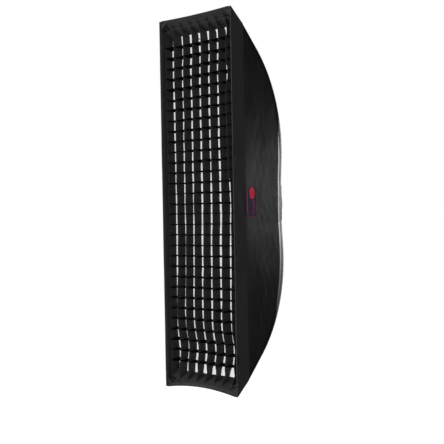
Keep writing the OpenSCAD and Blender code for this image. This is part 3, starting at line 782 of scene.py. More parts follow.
@dataclass
class Shell:
    """The four cloth panels, their piped seams, the rear collar and the badge.

    Attributes:
        layout: The shell's main edges.
        seam: The long seams.
        cloth: Thickness of the panels.
        shoulder: Radius that the cloth takes over a rod at a long seam.
        shoulder_turn: Share of that radius that the cloth turns through.
        ridge: How far the cloth over a rod stands proud.
        pucker: Depth of the gathers along the seams.
        pucker_pitch: Distance between them.
        pucker_reach: How far they run into the cloth.
        band: Width of the painted highlight band along a side panel's rear edge.
        band_inset: From the seam to that band.
        badge_wider: How far the badge's ground reaches past the CAD's patch on each side.
        badge_ahead: How far it is set towards the rim.
    """

    layout: Layout
    seam: SeamCurve
    cloth: float = 1.0 * MM
    shoulder: float = 10 * MM
    shoulder_turn: float = 0.707
    ridge: float = 2.2 * MM
    pucker: float = 0.7 * MM
    pucker_pitch: float = 17 * MM
    pucker_reach: float = 14 * MM
    band: float = 36 * MM
    band_inset: float = 2 * MM
    badge_wider: float = 4 * MM
    badge_ahead: float = 3 * MM

    def rounding(self, from_seam: np.ndarray) -> np.ndarray:
        """How far the cloth falls in as it turns over a seam."""
        short = self.shoulder_turn * np.clip(self.shoulder - from_seam, 0, self.shoulder)
        fall = self.shoulder - np.sqrt(self.shoulder**2 - short**2)
        return fall - self.ridge * bump_at(from_seam, 1.5 * self.shoulder, 0.6 * self.shoulder)

    def gathers(self, along: np.ndarray, from_seam: np.ndarray, seed: int) -> np.ndarray:
        """Small puckers that run out of a seam and die away."""
        waves = np.sin(math.tau * along / self.pucker_pitch + 3 * uneven(along, 0, 0.11, seed))
        strong = 0.55 + 0.45 * uneven(along, 0, 0.07, seed + 1)
        return self.pucker * waves * strong * np.exp(-from_seam / self.pucker_reach)

    def painted_highlight_band(self, points: np.ndarray, from_seam: np.ndarray) -> np.ndarray:
        """A painted highlight: a lighter, glossier band along a side panel's rear edge, for light caught over
        the rod.

        Args:
            points: The panel's face.
            from_seam: How far each of its points lies from the seam.

        Returns:
            The band's points, rows along the seam.
        """
        rows = []
        for line, away in zip(points, from_seam):
            z = line[0, 2]
            if -0.5 <= z <= 0.4:
                width = self.band_inset + self.band * window(z, -0.42, 0.3, 0.03)
                rows.append(read_at(np.linspace(width, self.band_inset, 14), away[::-1], line[::-1]))
        return np.array(rows)

    def side(self, sign: int) -> None:
        """Makes a side panel, 1 for the right one and -1 for the left one."""
        box, name = self.layout, SIDES[sign]
        heights = np.linspace(-box.root_z + 2 * MM, box.root_z - 2 * MM, 301)
        share = np.concatenate([np.linspace(0, 0.86, 44), np.linspace(0.87, 1, 20)])
        z, t = grids(heights, share)
        fall, back = box.half_w - box.seam_x(z), self.seam.at(z) - box.ledge_y
        y = box.ledge_y + back * t
        length = np.hypot(fall, back)
        from_seam, from_lip = (1 - t) * length, t * length
        middle = np.sin(math.pi * t) * np.clip(length / 0.3, 0, 1)
        out = -3.5 * MM * middle * (1 - (z / box.root_z) ** 2)
        out += 1.5 * MM * uneven(z, y, 0.22, 11 + sign) * middle
        out += 0.45 * MM * uneven(0.35 * z, y, 0.05, 21 + sign) * middle
        out += 0.7 * MM * bump_at(z + 0.9 * back * t, 0.16, 0.016) * middle
        out += 1.2 * MM * bump_at(z - 0.7 * back * t, -0.34, 0.015) * middle
        out += self.gathers(z, from_seam, 31) + self.gathers(z, from_lip, 41) - self.rounding(from_seam)
        slope = np.arctan2(fall, np.maximum(back, 1e-6))
        points = points_at(sign * (box.half_w - fall * t + out * np.cos(slope)), y + out * np.sin(slope), z)
        piece = Piece(f"side_cloth_{name}", (SHELL, SILVER, THREAD, PAINTED_HIGHLIGHT))
        piece.cloth(points[:, ::-sign], self.cloth, 0, 1)
        # A thin lighter sheet just off the panel along its rear edge: a painted highlight.
        band = self.painted_highlight_band(points, from_seam) + 0.6 * MM * sign * X + 0.1 * MM * Y
        piece.cloth(band[:, ::-sign], 0.2 * MM, 3, 3)
        for inset in (4.5 * MM, 9 * MM):
            column = int(np.searchsorted(share, inset / length.max()))
            piece.stitches(points[:, column] + PROUD * sign * X, sign * X, 2)
        made = piece.finish(Body.SOFTBOX, "shell_cloth", f"side_panel_{name}")

    def end(self, sign: int) -> None:
        """Makes the back panel over the upper pair of rods for 1, or the lower pair for -1."""
        box, name = self.layout, ENDS[sign]
        table = self.seam.table()
        steps = lengths_along(table)
        stations = np.linspace(0, steps[-1], 181)
        line = read_at(stations, steps, table)
        z0, y0 = line.T[..., None]
        out_y, out_z = np.gradient(line, stations, axis=0).T[..., None] * np.array([1, -1])[:, None, None]
        near = np.linspace(0.9, 1, 14)
        across = np.concatenate([-near[::-1], np.linspace(-0.88, 0.88, 45), near])
        s, t = grids(stations, across)
        x = box.seam_x(z0) * t
        from_seam = (1 - np.abs(t)) * box.seam_x(z0)
        hollow = 1 - t**2
        out = -7 * MM * hollow * np.sin(math.pi * s / steps[-1])
        out += 1.4 * MM * uneven(x, s, 0.16, 51 + sign) * hollow
        out += 0.7 * MM * uneven(x, 0.4 * s, 0.045, 61) * hollow
        out += self.gathers(s, from_seam, 71) + self.gathers(x, steps[-1] - s, 72) + self.gathers(x, s, 73)
        out -= self.rounding(from_seam)
        points = points_at(x, y0 + out * out_y, sign * (z0 + out * out_z))
        piece = Piece(f"back_cloth_{name}", (SHELL, SILVER, THREAD))
        piece.cloth(points[:, ::sign], self.cloth, 0, 1)
        outs = points_at(0, out_y, sign * out_z)[:, 0]
        for column in (6, 11, -12, -7):
            piece.stitches(points[:, column] + PROUD * outs, outs, 2)
        made = piece.finish(Body.SOFTBOX, "shell_cloth", "top_panel" if sign > 0 else "bottom_panel")
        float(2 * np.trapz(box.seam_x(z0[:, 0]), stations))

    def piping(self) -> None:
        """Makes the piped cords of the four long seams."""
        heights = np.concatenate([np.linspace(0, self.layout.collar_half, 12)[:-1], self.seam.table()[:, 0]])
        x, y = self.layout.seam_x(heights), self.seam.at(heights)
        rise = np.gradient(y, heights)
        steep = np.hypot(1, rise)
        turn = unit(points_at(0.55, 1 / steep, -rise / steep))
        line = points_at(x, y, heights) - self.shoulder * (1 - self.shoulder_turn) * turn
        piece = Piece("piped_seams", (PIPING,))
        for right, up in CORNERS:
            piece.rope(evenly(line * (right, 1, up), 4 * MM), 1.9 * MM, 10)
        piece.finish(Body.SOFTBOX, "piping", "seam_piping")

    def collar(self) -> None:
        """Makes the gathered cloth between the panels and the ring."""
        low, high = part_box("collar_elastic")
        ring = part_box("outer_ring")[1][0]
        inner, outer = ring + 0.8 * MM, self.layout.collar_half + 1 * MM
        a, t = grids(np.linspace(0, math.tau, 241), np.linspace(0, 1, 9))
        square = np.minimum(outer / np.maximum(np.abs(np.cos(a)), np.abs(np.sin(a))), 1.32 * outer)
        radius = inner + (square - inner) * t
        rear, front = (low[1] + high[1]) / 2, self.seam.at(outer) + 0.4 * MM
        y = rear + (front - rear) * t**0.7 + 0.7 * MM * np.sin(46 * a + 2 * np.sin(3 * a)) * (1 - 0.7 * t)
        piece = Piece("gathered_collar", (LIP_PAINTED_LIGHT, SILVER))
        piece.cloth(points_at(radius * np.cos(a), y, radius * np.sin(a)), 0.8 * MM, 0, 1)
        made = piece.finish(Body.SOFTBOX, "lip_cloth", "rear_collar")

    def elastic(self) -> None:
        """Makes the elastic that draws the collar in round the ring."""
        low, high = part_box("collar_elastic")
        turns = turns_of(144)
        thick = 1.2 * MM
        radius = high[0] - thick + 0.15 * MM * np.sin(46 * turns)
        piece = Piece("collar_elastic_cord", (ELASTIC,))
        path = points_at(radius * np.cos(turns), (low[1] + high[1]) / 2, radius * np.sin(turns))
        piece.rope(path, thick, 8, closed=True)
        piece.finish(Body.SOFTBOX, "elastic", "collar_elastic")

    def badge(self) -> None:
        """Makes the woven badge on the right side, with two rings, a stack of bars and a line."""
        box = self.layout
        low, high = (np.array(corner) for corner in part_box("label_patch"))
        ahead = unit(np.array([box.half_w - box.collar_half, box.ledge_y - self.seam.at(0.0), 0]))
        outward = np.cross(Z, ahead)
        middle = (low + high) / 2 * (1, 1, 0) - 0.6 * MM * outward + self.badge_ahead * ahead
        half_w = (high[1] - low[1]) / 2 / abs(ahead[1]) + self.badge_wider
        half_h = (high[2] - low[2]) / 2
        sewn = 0.8 * MM

        def place(u: np.ndarray, v: np.ndarray, rise: float = sewn) -> np.ndarray:
            """Points of the badge, u towards the front and v up, rise metres off it."""
            lift = rise + 0.35 * MM * uneven(u, v, 0.05, 81)
            return middle + u[..., None] * ahead + v[..., None] * Z + lift[..., None] * outward

        piece = Piece("woven_badge", (BADGE, BADGE_EDGE, BADGE_RED))
        v, u = grids(np.linspace(-half_h, half_h, 25), np.linspace(-half_w, half_w, 17))
        piece.cloth(place(u, v, 0.5 * MM), 0.9 * MM)
        turns = turns_of(80)
        loop_u, loop_v = (np.clip(1.6 * wave(turns), -1, 1) * (half - sewn)
                          for wave, half in ((np.cos, half_w), (np.sin, half_h)))
        piece.rope(place(loop_u, loop_v, 0.6 * MM), 1.5 * MM, 8, 1, True, 0.6, outward)
        turns = turns_of(40)
        for radius in (0.3 * half_h, 0.12 * half_h):
            ring = place(1.3 * radius * np.cos(turns) - 0.22 * half_w, 0.6 * half_h + radius * np.sin(turns))
            piece.rope(ring, 4 * MM, 6, 2, True, 0.16, outward)
        for row, (start, reach) in enumerate(zip((0.1, *5 * (0.2,)), (0.6, 0.72, 0.72, 0.55, 0.72, 0.6))):
            bar = -np.linspace(start, reach, 8) * half_w
            piece.rope(place(bar, 0 * bar + (0.08 - 0.17 * row) * half_h), 3 * MM, 6, 1, False, 0.22, outward)
        line = np.linspace(-0.8, 0.84, 30) * half_h
        piece.rope(place(0 * line + 0.72 * half_w, line), 1.6 * MM, 6, 2, False, 0.4, outward)
        piece.finish(Body.SOFTBOX, "label_cloth", "label_patch")

    def build(self) -> None:
        """Makes the whole shell."""
        for sign in (1, -1):
            self.side(sign)
            self.end(sign)
        self.piping()
        self.collar()
        self.elastic()
        self.badge()


# ---------------------------------------------------------------- the front


def frame_line(half_w: float, half_h: float, cut: float, inset: float, y: float) -> np.ndarray:
    """The closed line of a flat frame with cut corners.

    Args:
        half_w: Half the frame's outside width.
        half_h: Half its outside height.
        cut: How far each corner is cut off.
        inset: How far the line lies inside the frame's outside.
        y: The line's station.

    Returns:
        The line, which ends on its first point.
    """
    w, h, c = half_w - inset, half_h - inset, cut - 0.59 * inset
    corners = [(c - w, -h), (w - c, -h), (w, c - h), (w, h - c)]
    corners += [(-x, -z) for x, z in corners]
    line = [np.linspace(a, b, number, endpoint=False)
            for a, b, number in zip(corners, corners[1:] + corners[:1], 2 * (40, 6, 140, 6))]
    flat = np.concatenate([*line, [corners[0]]])
    return points_at(flat[:, 0], y, flat[:, 1])


def lay_frame(piece: Piece, node: str, width: float, cut: float, y: float, thickness: float,
              facing: int) -> None:
    """Adds a flat tape frame, square to the axis, with two rows of stitches.

    Args:
        piece: The piece to add it to.
        node: The CAD node that gives its outside.
        width: The tape's width.
        cut: How far each corner is cut off.
        y: Station of the side that shows.
        thickness: The tape's thickness.
        facing: -1 to face the front and 1 to face the rear.
    """
    half_w, _, half_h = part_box(node)[1]
    rows = [frame_line(half_w, half_h, cut, inset, y) for inset in np.linspace(0, width, 5)]
    for row in rows:
        row[:, 1] += 0.12 * MM * uneven(row[:, 0], row[:, 2], 0.11, 131)
    piece.cloth(np.stack(rows, axis=1)[:, ::-facing], thickness)
    for inset in (3 * MM, width - 3 * MM):
        piece.stitches(frame_line(half_w, half_h, cut, inset, y + facing * 0.15 * MM), facing * Y, 1)


@dataclass
class Lip:
    """The four cloth lips round the recess, the rim's binding, the corner pockets and the tapes.

    Attributes:
        layout: The shell's main edges.
        cloth: Thickness of the doubled cloth.
        lower_bow: How far the lower rim bows up in its middle.
        upper_bow: How far the upper rim bows down.
        corner_soft: How far the rim's line stays clear of a corner before it turns.
        binding_width: How far the binding reaches over the lips.
        pocket_x: A corner pocket's width.
        pocket_z: Its height.
        tie_pitch: Distance between the folds that the grid's ties draw.
    """

    layout: Layout
    cloth: float = 1.5 * MM
    lower_bow: float = 17 * MM
    upper_bow: float = 4 * MM
    corner_soft: float = 7 * MM
    binding_width: float = 11 * MM
    pocket_x: float = 30 * MM
    pocket_z: float = 24 * MM
    tie_pitch: float = 42.3 * MM

    def edge_z(self, depth: np.ndarray | float, x: np.ndarray, up: int) -> np.ndarray:
        """Height of an end lip's outside, bowed in along the rim, without its sign."""
        box = self.layout
        bow = self.upper_bow if up > 0 else self.lower_bow
        arch = np.clip(1 - (x / (0.97 * box.half_w)) ** 2, 0, 1) * np.clip(1 - depth / box.lip_depth, 0, 1)
        return box.half_h - depth * box.flare - bow * arch

    def loose(self, depth: np.ndarray) -> np.ndarray:
        """How freely a lip's cloth hangs, from 0 at its edges to 1 in its middle."""
        return np.sin(math.pi * ramp(depth, 0, self.layout.lip_depth))

    def side(self, sign: int) -> None:
        """Makes a long lip, 1 for the right one and -1 for the left one."""
        box, name = self.layout, SIDES[sign]
        share, depth = grids(np.linspace(-1, 1, 281), np.linspace(1.5 * MM, box.lip_depth, 17))
        z = share * (box.half_h - depth * box.flare - 0.5 * MM)
        out = 0.6 * MM * uneven(z, depth, 0.12, 101 + sign) * self.loose(depth) * ramp(depth, 12 * MM, 8 * MM)
        points = points_at(sign * (box.half_w + np.clip(out, -0.15 * MM, 0.6 * MM)), box.rim_y + depth, z)
        piece = Piece(f"lip_cloth_{name}", (LIP_OUTSIDE_PAINTED_LIGHT, THREAD, LIP_PAINTED_LIGHT))
        piece.cloth(points[:, ::-sign], self.cloth, 0, 2)
        for row in (3, -2):
            piece.stitches(points[:, row] + PROUD * sign * X, sign * X, 1)
            piece.stitches(points[:, row] - (self.cloth + PROUD) * sign * X, -sign * X, 1)
        made = piece.finish(Body.SOFTBOX, "lip_cloth", f"lip_{name}")

    def end(self, up: int) -> None:
        """Makes a short lip, 1 for the upper one and -1 for the lower one, with folds between the ties."""
        box = self.layout
        reach = box.half_w - 2 * MM
        x, depth = grids(np.linspace(-reach, reach, 121), np.linspace(1.5 * MM, box.lip_depth, 21))
        fold = 1.5 * MM * uneven(x, depth, 0.09, 111 + up) + MM * np.sin(math.tau * x / self.tie_pitch + 0.6)
        inside = np.minimum(fold * self.loose(depth), 0.8 * MM) - 0.8 * MM
        points = points_at(x, box.rim_y + depth, up * (self.edge_z(depth, x, up) + inside))
        piece = Piece(f"lip_cloth_{ENDS[up]}", (LIP_OUTSIDE_PAINTED_LIGHT, THREAD, LIP_PAINTED_LIGHT))
        piece.cloth(points[:, ::up], self.cloth, 0, 2)
        for row in (3, -3):
            piece.stitches(points[:, row] + PROUD * up * Z, up * Z, 1)
            piece.stitches(points[:, row] - (self.cloth + 0.4 * MM) * up * Z, -up * Z, 1)
        made = piece.finish(Body.SOFTBOX, "lip_cloth", "lip_top" if up > 0 else "lip_bottom")

    def rim_path(self, inset: float) -> np.ndarray:
        """The rim's closed line, inset metres inside the outline."""
        box = self.layout
        reach, tall = box.half_w - inset, box.half_h - inset
        across = np.linspace(self.corner_soft - reach, reach - self.corner_soft, 90)
        y = box.rim_y + 1.5 * MM
        upper, lower = (points_at(across, y, up * (self.edge_z(0, across, up) - inset)) for up in (1, -1))
        z = np.linspace(self.corner_soft - tall, tall - self.corner_soft, 260)
        wave = np.minimum(0.5 * MM * uneven(z, 0, 0.3, 91), 0.4 * MM)
        right = points_at(reach - 0.5 * MM + wave, y, z)
        loop = np.concatenate([lower, right, upper[::-1], right[::-1] * (-1, 1, 1)])
        for _ in range(2):
            loop = (np.roll(loop, 1, axis=0) + 2 * loop + np.roll(loop, -1, axis=0)) / 4
        return loop

    def binding(self) -> None:
        """Makes the tape folded over the rim, with its rolled edge and a row of stitches."""
        piece = Piece("rim_binding_tape", (BINDING, THREAD))
        piece.rope(self.rim_path(1.6 * MM), 1.6 * MM, 10, closed=True)
        outline = self.rim_path(0.4 * MM)
        outward = np.cross(Y, unit(np.roll(outline, -1, axis=0) - np.roll(outline, 1, axis=0)))
        rise = outward[:, 2]
        lean = -self.layout.flare * np.clip(3 * np.abs(rise) - 2, 0, 1) * np.sign(rise)
        back = points_at(0, 1, lean)
        for side, lift in ((1, 0.5 * MM), (-1, -2.6 * MM)):
            rows = [outline + outward * lift * min(1, 0.4 + reach / (3 * MM)) + back * reach
                    for reach in np.linspace(0, self.binding_width, 5)]
            band = np.stack(rows, axis=1)
            band = np.concatenate([band, band[:1]])
            piece.cloth(band[:, ::-side], 0.5 * MM)
            piece.stitches(band[:, -2], np.concatenate([outward, outward[:1]]) * side, 1)
        piece.finish(Body.SOFTBOX, "binding_tape", "rim_binding")

    def pockets(self) -> None:
        """Makes the triangular pockets that hold the rod tips in the corners."""
        low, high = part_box("corner_pockets")
        piece = Piece("rod_pockets", (LIP_PAINTED_LIGHT, BINDING, THREAD))
        share, drop = grids(np.linspace(0, 1, 15), np.linspace(0, 1, 13))
        puff = 1.8 * MM * np.sin(math.pi * share) * np.sin(math.pi * drop * 0.9 + 0.15)
        corner = points_at(high[0] - self.pocket_x * share, low[1] + 0.3 * MM - puff,
                           high[2] - self.pocket_z * drop * (1 - share) - 0.3 * MM)
        for right, up in CORNERS:
            points = corner * (right, 1, up)
            piece.cloth(points[:, ::right * up], 0.9 * MM)
            piece.rope(evenly(points[:, -1], 2 * MM), 1.1 * MM, 8, 1)
            piece.stitches(points[:, -3] - 0.2 * MM * Y, -Y, 2)
        piece.finish(Body.SOFTBOX, "binding_tape", "corner_pockets")

    def ledge(self) -> None:
        """Makes the ledge's loop tape, which the front diffuser sticks to."""
        piece = Piece("ledge_tape", (LOOPS, THREAD))
        lay_frame(piece, "diffuser_ledge", 22 * MM, 38 * MM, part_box("diffuser_ledge")[0][1], 1.0 * MM, -1)
        piece.finish(Body.SOFTBOX, "loop_tape", "diffuser_ledge")

    def side_tapes(self) -> None:
        """Makes the loop tapes inside the long lips, which the grid sticks to."""
        piece = Piece("lip_tapes", (LOOPS, THREAD))
        side_tapes(piece, "lip_loop_tapes", 1.15 * MM, -1, (0.15 * MM, 0.09, 121), PROUD, 0.5 * MM)
        piece.finish(Body.SOFTBOX, "loop_tape", "lip_loop_tapes")

    def build(self) -> None:
        """Makes the whole front of the shell."""
        self.binding()
        for sign in (1, -1):
            self.side(sign)
            self.end(sign)
        self.pockets()
        self.ledge()
        self.side_tapes()


@dataclass
class Diffusers:
    """The front diffuser with its tape, and the inner baffle with its hem and elastics.

    Attributes:
        cut: How far the front diffuser's corners are cut off.
        turn_up: How far its edge reaches past the tape, towards the short lips.
        strap: Half an elastic's width.
        from_hem: From the hem's outside to an elastic's start, each way.
        clip_x: From the clips' outside to its end, sideways.
        clip_z: The same, along the long side.
    """

    cut: float = 38 * MM
    turn_up: float = 4 * MM
    strap: float = 4.5 * MM
    from_hem: float = 7 * MM
    clip_x: float = 6.5 * MM
    clip_z: float = 9.5 * MM

    def white_sheet(self, piece: Piece, node: str, cut: float, swell: float, seed: int) -> None:
        """Makes a white sheet with soft creases.

        Args:
            piece: The piece to make it in.
            node: The CAD node that it stands for.
            cut: How far its corners are cut off.
            swell: Height of its creases.
            seed: Which pattern of creases.
        """
        front = node == "front_diffuser"
        low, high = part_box(node)
        width, tall = high[0], high[2] + (self.turn_up if front else 0)
        z, share = grids(np.linspace(-tall, tall, 221), np.linspace(-1, 1, 61))
        from_end = tall - np.abs(z)
        half = width - np.clip(cut - from_end, 0, cut)
        x = share * half
        free = ramp(half - np.abs(x), 0, 0.04) * ramp(from_end, 0, 0.04)
        lift = uneven(x, z, 0.19, seed) + 0.55 * uneven(x, 0.5 * z, 0.06, seed + 1)
        lift += 0.5 * np.sin(math.tau * x / 0.045 + uneven(z, x, 0.3, seed + 2)) * np.exp(-from_end / 0.05)
        points = points_at(x, (low[1] + high[1]) / 2 + swell * free * lift, z)
        piece.cloth(points[:, ::-1], 0.4 * MM, middle=True)
        body, slot = (Body.DIFFUSER, "diffuser_cloth") if front else (Body.SOFTBOX, "baffle_cloth")
        made = piece.finish(body, slot, node)

    def front(self) -> None:
        """Makes the front diffuser and the tape sewn round it."""
        self.white_sheet(Piece("front_diffuser_cloth", (WHITE,)), "front_diffuser", self.cut, 1.3 * MM, 201)
        low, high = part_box("diffuser_hook_tape")
        piece = Piece("front_diffuser_tape", (WHITE_TAPE, PALE_THREAD))
        lay_frame(piece, "diffuser_hook_tape", 22 * MM, self.cut, high[1], 0.9 * MM, 1)
        line = frame_line(high[0], high[2], self.cut, 0.6 * MM, low[1] + 0.2 * MM)
        piece.rope(line[:-1], 0.7 * MM, 6, closed=True)
        piece.finish(Body.DIFFUSER, "white_tape", "diffuser_hook_tape")

    def baffle(self) -> None:
        """Makes the inner baffle and its hem."""
        self.white_sheet(Piece("inner_baffle_cloth", (BAFFLE,)), "inner_baffle", 2 * MM, 2.2 * MM, 301)
        piece = Piece("inner_baffle_hem", (WHITE_TAPE, PALE_THREAD))
        lay_frame(piece, "baffle_hem", 12 * MM, 9 * MM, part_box("baffle_hem")[1][1], 0.6 * MM, 1)
        piece.finish(Body.SOFTBOX, "white_tape", "baffle_hem")

    def elastics(self) -> None:
        """Makes the flat elastics from the baffle's corners to the clips on the rods."""
        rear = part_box("baffle_elastics")[1][1]
        hem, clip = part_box("baffle_hem")[1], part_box("baffle_clips")[1]
        start = np.array([hem[0] - self.from_hem, 0, hem[2] - self.from_hem])
        way = np.array([clip[0] - self.clip_x, 0, clip[2] - self.clip_z]) - start
        aside = np.cross(unit(way), Y)
        s, t = grids(np.linspace(0, 1, 21), np.linspace(-self.strap, self.strap, 7))
        strap = start + s[..., None] * way + (t * (1 - 0.35 * s**3))[..., None] * aside
        strap[..., 1] = rear - PROUD + 0.4 * MM * np.cos(t / self.strap) * s
        piece = Piece("baffle_elastic_straps", (ELASTIC, PALE_THREAD))
        for right, up in CORNERS:
            mirror = (right, 1, up)
            piece.cloth((strap * mirror)[:, ::-right * up], 0.8 * MM)
            for share in (0.0, 0.06):
                bar = start + share * way + 0.8 * np.linspace(-self.strap, self.strap, 9)[:, None] * aside
                bar[:, 1] = rear + PROUD
                piece.stitches(bar * mirror, Y, 1, pitch=1.8 * MM, length=1.5 * MM)
        piece.finish(Body.SOFTBOX, "elastic", "baffle_elastics")

    def build(self) -> None:
        """Makes both diffusers."""
        self.front()
        self.baffle()
        self.elastics()


@dataclass
class EggCrate:
    """The soft grid: notched cloth strips crossing in a border, held to the lips.

    Attributes:
        layout: The shell's main edges.
        cells: Cells across.
        pitch: Height of a cell.
        hem: Radius of a strip's folded front edge.
        strip: Thickness of a strip.
        end_gap: From the lip to the end border at the corners, square to the lip.
        lip_gap: From the lip's outside to its inside, with a little to spare.
        front_gap: From the lip to the end border's front edge, away from the corners.
        rear_gap: From the lip to its back edge, away from the corners.
        corner_from: Where across the end borders start to turn away from the corners.
        corner_run: How far they take to turn.
        stray: How far the uprights stray for each 1 in pull and spread.
        tighter: How far each strip's back edge, from the left border on, leans towards the next strip.
        tilt: How far a crossbar's back edge droops, away from the grid's middle.
        tie_height: Height of a tie where it leaves the grid.
        tie_length: How far it reaches forward.
    """

    layout: Layout
    cells: int = 8
    pitch: float = 40 * MM
    hem: float = 1.1 * MM
    strip: float = 0.9 * MM
    end_gap: float = 13.6 * MM
    lip_gap: float = 2.8 * MM
    front_gap: float = 6.0 * MM
    rear_gap: float = 3.2 * MM
    corner_from: float = 0.136
    corner_run: float = 0.014
    stray: float = 5 * MM
    tighter: tuple[float, ...] = (0.0, 1.3 * MM, 0.4 * MM, 0.0, 1.6 * MM, 1.5 * MM, 4.5 * MM, 0.0)
    tilt: float = 3.5 * MM
    tie_height: float = 15 * MM
    tie_length: float = 17 * MM

    def __post_init__(self) -> None:
        """Reads the grid's place from the frame."""
        low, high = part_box("grid_borders")
        self.front_y, self.depth = low[1], high[1] - low[1]
        self.border_x = high[0] - 0.5 * MM
        self.cell_w = 2 * self.border_x / self.cells
        self.bars = round(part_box("grid_crossbars")[1][2] / self.pitch)

    def end_z(self, y: np.ndarray | float, gap: np.ndarray | float) -> np.ndarray:
        """Height of the grid's end at a station."""
        slope = self.layout.flare
        return self.layout.half_h - (y - self.layout.rim_y) * slope - gap * math.hypot(1, slope)

    def gap_at(self, share: np.ndarray, x: np.ndarray | float) -> np.ndarray:
        """From the lip to the grid's end, square to the lip.

        Args:
            share: 0 at the front edge and 1 at the back.
            x: Place across; near the corners the end stays clear of the rods.

        Returns:
            The gap in metres.
        """
        middle = self.front_gap + (self.rear_gap - self.front_gap) * share
        return middle + (self.end_gap - middle) * ramp(np.abs(x), self.corner_from, self.corner_run)

    def upright_x(self, column: int, z: np.ndarray | float, share: np.ndarray | float = 0.0) -> np.ndarray:
        """Where an upright lies across, with all that it strays sideways.

        Args:
            column: Which upright, counted from the left border.
            z: Height.
            share: 0 at the front edge and 1 at the back.

        Returns:
            Its place across in metres.
        """
        fade = ramp(self.end_z(self.front_y, self.end_gap) - np.abs(z), 0, 0.03)
        front = 1 - share
        turn = 0.5 - share
        aside = 1.4 * MM * uneven(z, 0.05 * column, 0.5, 401)
        aside += 0.7 * MM * uneven(z, 0.5 * column, 0.16, 402)
        aside += 0.4 * MM * np.cos(math.pi * z / self.pitch) * uneven(z, column, 0.09, 403)
        aside += 11 * MM * bump_at(z, -0.545, 0.055)
        opened = window(-z, 0.615, 0.7, 0.006) * ramp(column, 1.5, 3)
        aside = aside + turn * (1.1 * MM * uneven(z, 0.7 * column, 0.13, 404) + 0.26 * self.cell_w * opened)
        if column == self.cells - 1:
            aside -= 11 * MM * front * (window(z, 0.085, 0.435, 0.006) + 0.75 * window(z, 0.50, 0.60, 0.006))
        if column == 1:
            aside -= 4 * MM * front * window(z, 0.46, 0.66, 0.02)
        pull = 1.1 + bump_at(z, 0.02, 0.16) + 0.8 * bump_at(z, 0.57, 0.08) - 0.7 * bump_at(z, -0.38, 0.14)
        spread = 0.45 + 0.35 * bump_at(z, 0.07, 0.14) + 1.1 * bump_at(z, -0.4, 0.14)
        spread += 0.4 * bump_at(z, -0.6, 0.06)
        fan = (column - 4) / 3 * (0.85 if column == 1 else 1)
        aside += self.stray * (pull + spread * (fan + share / 3))
        aside += self.tighter[column] * (1 - opened) * share
        return column * self.cell_w - self.border_x + aside * fade

    def uprights(self) -> None:
        """Makes the upright strips, with folded front edges and a tack at each crossing."""
        piece = Piece("grid_upright_strips", (GRID, THREAD))
        share, level = grids(np.linspace(0, 1, 7), np.linspace(-1, 1, 331))
        y = self.front_y + self.depth * share
        tack = points_at(np.array([-2.2, 2.2]) * MM, self.front_y - PROUD, 0)
        for column in range(1, self.cells):
            gap = self.gap_at(share, column * self.cell_w - self.border_x)
            z = level * (self.end_z(y, gap + 1.2 * MM) - 0.5 * MM)
            points = points_at(self.upright_x(column, z, share), y, z)
            piece.folded_strip(points, points[0], self.strip, self.hem)
            for z_bar in np.arange(-self.bars, self.bars + 1) * self.pitch:
                piece.rope(tack + points_at(self.upright_x(column, z_bar), 0, z_bar), 0.5 * MM, 5, 1)
        made = piece.finish(Body.GRID, "grid_cloth", "grid_uprights")

    def crossbars(self) -> None:
        """Makes the crossbars, which sag a little between the uprights."""
        # The crossbars wear a darker copy of the grid's cloth: painted shade.
        piece = Piece("grid_crossbar_strips", (CROSSBAR_PAINTED_SHADE,))
        reach = self.border_x - 0.8 * MM
        x, share = grids(np.linspace(-reach, reach, 97), np.linspace(0, 1, 6))
        y = self.front_y + 0.6 * MM + (self.depth - 0.6 * MM) * share
        sag = 0.9 * MM * np.sin(math.pi * (x + self.border_x) / self.cell_w) ** 2
        for bar in range(-self.bars, self.bars + 1):
            z = bar * self.pitch - sag + 1.0 * MM * uneven(x, y + bar, 0.12, 500 + bar)
            z += 1.1 * MM * (0.5 - share) * uneven(x, bar, 0.1, 540 + bar)
            z -= self.tilt * share * (1 if bar >= 0 else -1)
            points = points_at(x, y, z)
            piece.folded_strip(points, points[:, 0], self.strip, self.hem, flat_way=Z)
        made = piece.finish(Body.GRID, "grid_cloth", "grid_crossbars")

    def borders(self) -> None:
        """Makes the side borders and the scalloped end borders."""
        piece = Piece("grid_border_strips", (GRID, THREAD))
        level, share = grids(np.linspace(-1, 1, 241), np.linspace(0, 1, 6))
        y = self.front_y + self.depth * share
        z = level * self.end_z(y, self.gap_at(share, self.border_x))
        bowed = -1.3 * MM * np.sin(math.pi * z / self.pitch) ** 2 * (1 - share)
        for sign in (1, -1):
            x = self.border_x + np.minimum(bowed + 0.3 * MM * uneven(z, y, 0.1, 601 + sign), 0.25 * MM)
            if sign < 0:
                x -= share * (4 * MM * bump_at(z, 0.05, 0.28) + 9 * MM * bump_at(z, -0.575, 0.06))
            points = points_at(sign * x, y, z)
            piece.folded_strip(points[:, ::sign], points[:, 0], self.strip, self.hem)
            piece.stitches(points[:, 1] - 0.6 * MM * sign * X, -sign * X, 1)
        reach = self.border_x - 0.9 * MM
        x, share = grids(np.linspace(-reach, reach, 161), np.linspace(0, 1, 8))
        y = self.front_y + self.depth * share
        notch = np.cos(math.pi * (x + self.border_x) / self.cell_w) ** 2
        z = self.end_z(y, self.gap_at(share, x)) - 3.5 * MM * notch * (1 - 0.9 * share)
        for up in (1, -1):
            points = points_at(x, y, up * z)
            piece.folded_strip(points[:, ::-up], points[:, 0], self.strip, self.hem, 4 * MM, Z)
            piece.stitches(points[:, 2] - 0.6 * MM * up * Z, -up * Z, 1)
        piece.finish(Body.GRID, "grid_cloth", "grid_borders")

